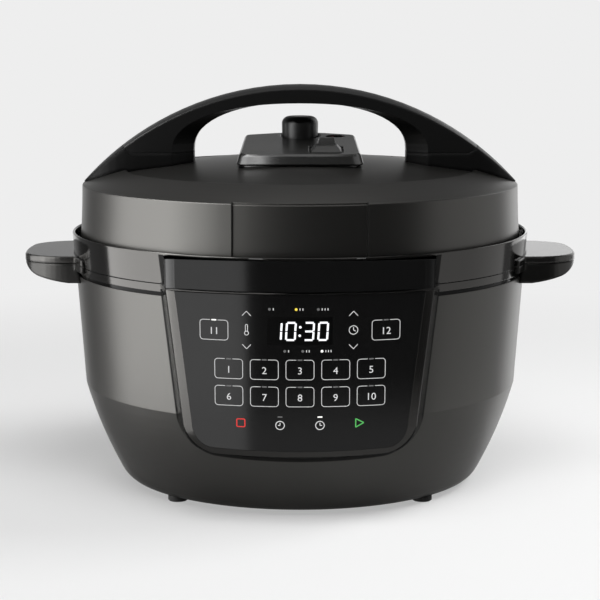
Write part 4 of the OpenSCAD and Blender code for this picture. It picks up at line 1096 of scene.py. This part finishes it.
floor_mesh = bpy.data.meshes.new("studio floor")
half = floor_size / 2
floor_corners = [(-half, -half, 0), (half, -half, 0), (half, half, 0), (-half, half, 0)]
floor_mesh.from_pydata(floor_corners, [], [(0, 1, 2, 3)])
floor = bpy.data.objects.new("studio floor", floor_mesh)
bpy.context.scene.collection.objects.link(floor)
print("floor side in metres:", floor_size)

# %% [markdown]
# The floor's material measures the distance from the cooker's middle. `fade` says how much of
# the glow shows there, and `gone` how far the floor has vanished for a reflection.

# %% The floor's material
even_share = 0.48
fade_from = 0.35
fade_to = 1.00
mirror_share = 0.3
mirror_from = 0.30
mirror_to = 0.46


def blend(tree, share, first, second):
    """The first shader where the share is 0, the second where it is 1."""
    node = add(tree, "ShaderNodeMixShader")
    for entry, signal in enumerate((share, first, second)):
        tree.links.new(signal, node.inputs[entry])
    return node.outputs["Shader"]


floor_finish, tree = new_material("studio paper")
out = add(tree, "ShaderNodeOutputMaterial")
matt = add(tree, "ShaderNodeBsdfDiffuse", Color=grey(paper)).outputs["BSDF"]
glow = add(tree, "ShaderNodeEmission", Color=grey(paper), Strength=1.0).outputs["Emission"]
clear = add(tree, "ShaderNodeBsdfTransparent").outputs["BSDF"]
rays = add(tree, "ShaderNodeLightPath").outputs
place = add(tree, "ShaderNodeTexCoord")
length = add(tree, "ShaderNodeVectorMath", operation="LENGTH")
join(tree, place, "Object", length, 0)

fade = soft_step(tree, length.outputs["Value"], fade_from, fade_to, even_share)
gone = soft_step(tree, length.outputs["Value"], mirror_from, mirror_to, mirror_share)
even = blend(tree, rays["Is Camera Ray"], clear, glow)
ground = blend(tree, fade, matt, even)
mirrored = calc(tree, "MAXIMUM", rays["Is Glossy Ray"], rays["Is Shadow Ray"])
left_out = calc(tree, "MULTIPLY", mirrored, gone)
tree.links.new(blend(tree, left_out, ground, clear), out.inputs["Surface"])
floor_mesh.materials.append(floor_finish)
print("the floor is even beyond", fade_to, "m")

# %% [markdown]
# ## 18. The backdrop
#
# The world is the backdrop. The camera always sees the paper colour. A reflection sees paper
# only low down behind the cooker, and elsewhere a room that is dark in front and a little
# lighter towards the back: a white room all round would turn the black gloss grey. On matt
# surfaces the world shines weakly and evenly.

# %% The world
room_dim = 0.07
room_side = 0.16
room_fill = 0.15
behind_from = 0.80
behind_to = 0.92
low_from = 0.02
low_to = 0.30
side_from = 0.0
side_to = 0.5

world = bpy.data.worlds.new("studio backdrop")
bpy.context.scene.world = world
world.use_nodes = True
tree = world.node_tree
tree.nodes.clear()
out = add(tree, "ShaderNodeOutputWorld")
fill = add(tree, "ShaderNodeBackground", Color=grey(1.0), Strength=room_fill)
shown = add(tree, "ShaderNodeBackground", Strength=1.0)
rays = add(tree, "ShaderNodeLightPath").outputs
place = add(tree, "ShaderNodeTexCoord")
parts = add(tree, "ShaderNodeSeparateXYZ")
join(tree, place, "Generated", parts, "Vector")
backward = parts.outputs["Y"]
upward = parts.outputs["Z"]
print("light in the room, in front and towards the back:", room_dim, room_side)

# %% [markdown]
# `backward` and `upward` tell where a ray goes. The paper sheet fades out upward and to the
# sides, so its reflection has soft edges. The last step picks what each kind of ray sees.

# %% What each ray sees
behind = soft_step(tree, backward, behind_from, behind_to)
low = soft_step(tree, upward, low_from, low_to, 1.0, 0.0)
beside = soft_step(tree, backward, side_from, side_to, room_dim, room_side)
sheet = calc(tree, "MULTIPLY", behind, low)
in_view = calc(tree, "MAXIMUM", sheet, rays["Is Camera Ray"])
tone = add(tree, "ShaderNodeMapRange")
tone.inputs["To Max"].default_value = paper
tree.links.new(in_view, tone.inputs["Value"])
tree.links.new(beside, tone.inputs["To Min"])
join(tree, tone, "Result", shown, "Color")
direct = chain(tree, "MAXIMUM", rays["Is Camera Ray"], rays["Is Glossy Ray"],
               rays["Is Transmission Ray"])
backdrop = blend(tree, direct, fill.outputs["Background"], shown.outputs["Background"])
tree.links.new(backdrop, out.inputs["Surface"])
print("paper colour:", paper)

# %% [markdown]
# ## 19. The lights
#
# Gloss black has almost no colour of its own: its look is what it mirrors. One big lamp would
# give one blurred stripe, so upright cards of light stand round the cooker instead, each for
# one reflection. The wide left card makes the long bright stripe down the side of the pot.
# These cards show only in reflections, so the floor stays evenly lit.

# %% Cards of light
card_away = 1.15


def card(name, turn, half_turn, low, high, bright):
    """A card at this turn from the front, in degrees to the left, facing the cooker."""
    data = bpy.data.lights.new(name, "AREA")
    data.shape = "RECTANGLE"
    data.size = 2 * card_away * math.tan(math.radians(half_turn))
    data.size_y = high - low
    data.energy = bright * math.pi * data.size * data.size_y
    lamp = bpy.data.objects.new(name, data)
    angle = math.radians(turn)
    lamp.location = (-card_away * math.sin(angle), -card_away * math.cos(angle), (low + high) / 2)
    lamp.rotation_euler = (math.radians(90), 0, -angle)
    lamp.visible_camera = False
    lamp.visible_diffuse = False
    bpy.context.scene.collection.objects.link(lamp)
    return lamp


card("left card", 83, 21.5, -0.45, 1.2, 3.3)
card("left front card", 54, 12, -0.45, 1.2, 2.3)
card("front card low", 28, 13, -0.55, -0.04, 1.3)
card("front card high", 36, 8, -0.02, 0.9, 0.5)
card("right card", -90, 27, -0.45, 1.1, 0.5)
card("right rim card", -137, 12, -0.45, 1.1, 1.1)
card("right rear card", -162, 6, 0.22, 0.50, 0.9)
card("left high card", 75, 35, 1.15, 2.0, 7.0)
print("cards:", len(bpy.data.lights))

# %% [markdown]
# Four square lights hang above. Two of them show only in reflections and put a soft sheen on
# the lid. The other two light only matt surfaces: one from the right draws the shadow to the
# left, and one from above and in front keeps the floor before the cooker clear.

# %% Lights from above
def roof_light(name, place, side, energy, sheen, aim=(0, 0, 0.1)):
    """A square light facing a point of the cooker, for sheen or for matt surfaces."""
    data = bpy.data.lights.new(name, "AREA")
    data.size = side
    data.energy = energy
    lamp = bpy.data.objects.new(name, data)
    lamp.location = place
    to_point = mathutils.Vector(aim) - mathutils.Vector(place)
    lamp.rotation_euler = to_point.to_track_quat("-Z", "Y").to_euler()
    lamp.visible_camera = False
    lamp.visible_diffuse = not sheen
    lamp.visible_glossy = sheen
    bpy.context.scene.collection.objects.link(lamp)
    return lamp


roof_light("rear top light", (0, 0.9, 2.0), 0.8, 0.6, sheen=True)
roof_light("top light", (0, -0.25, 1.6), 1.4, 5, sheen=True, aim=(0, -0.25, 0))
roof_light("right key light", (1.00, 0.10, 1.10), 0.6, 11, sheen=False)
roof_light("high key light", (0.10, -0.75, 1.70), 1.2, 25, sheen=False)
print("lights:", len(bpy.data.lights))

# %% [markdown]
# ## 20. Finish
#
# The picture uses the plain Standard view, in which a colour shows about as it was written.

# %% Settings
bpy.context.scene.view_settings.view_transform = "Standard"
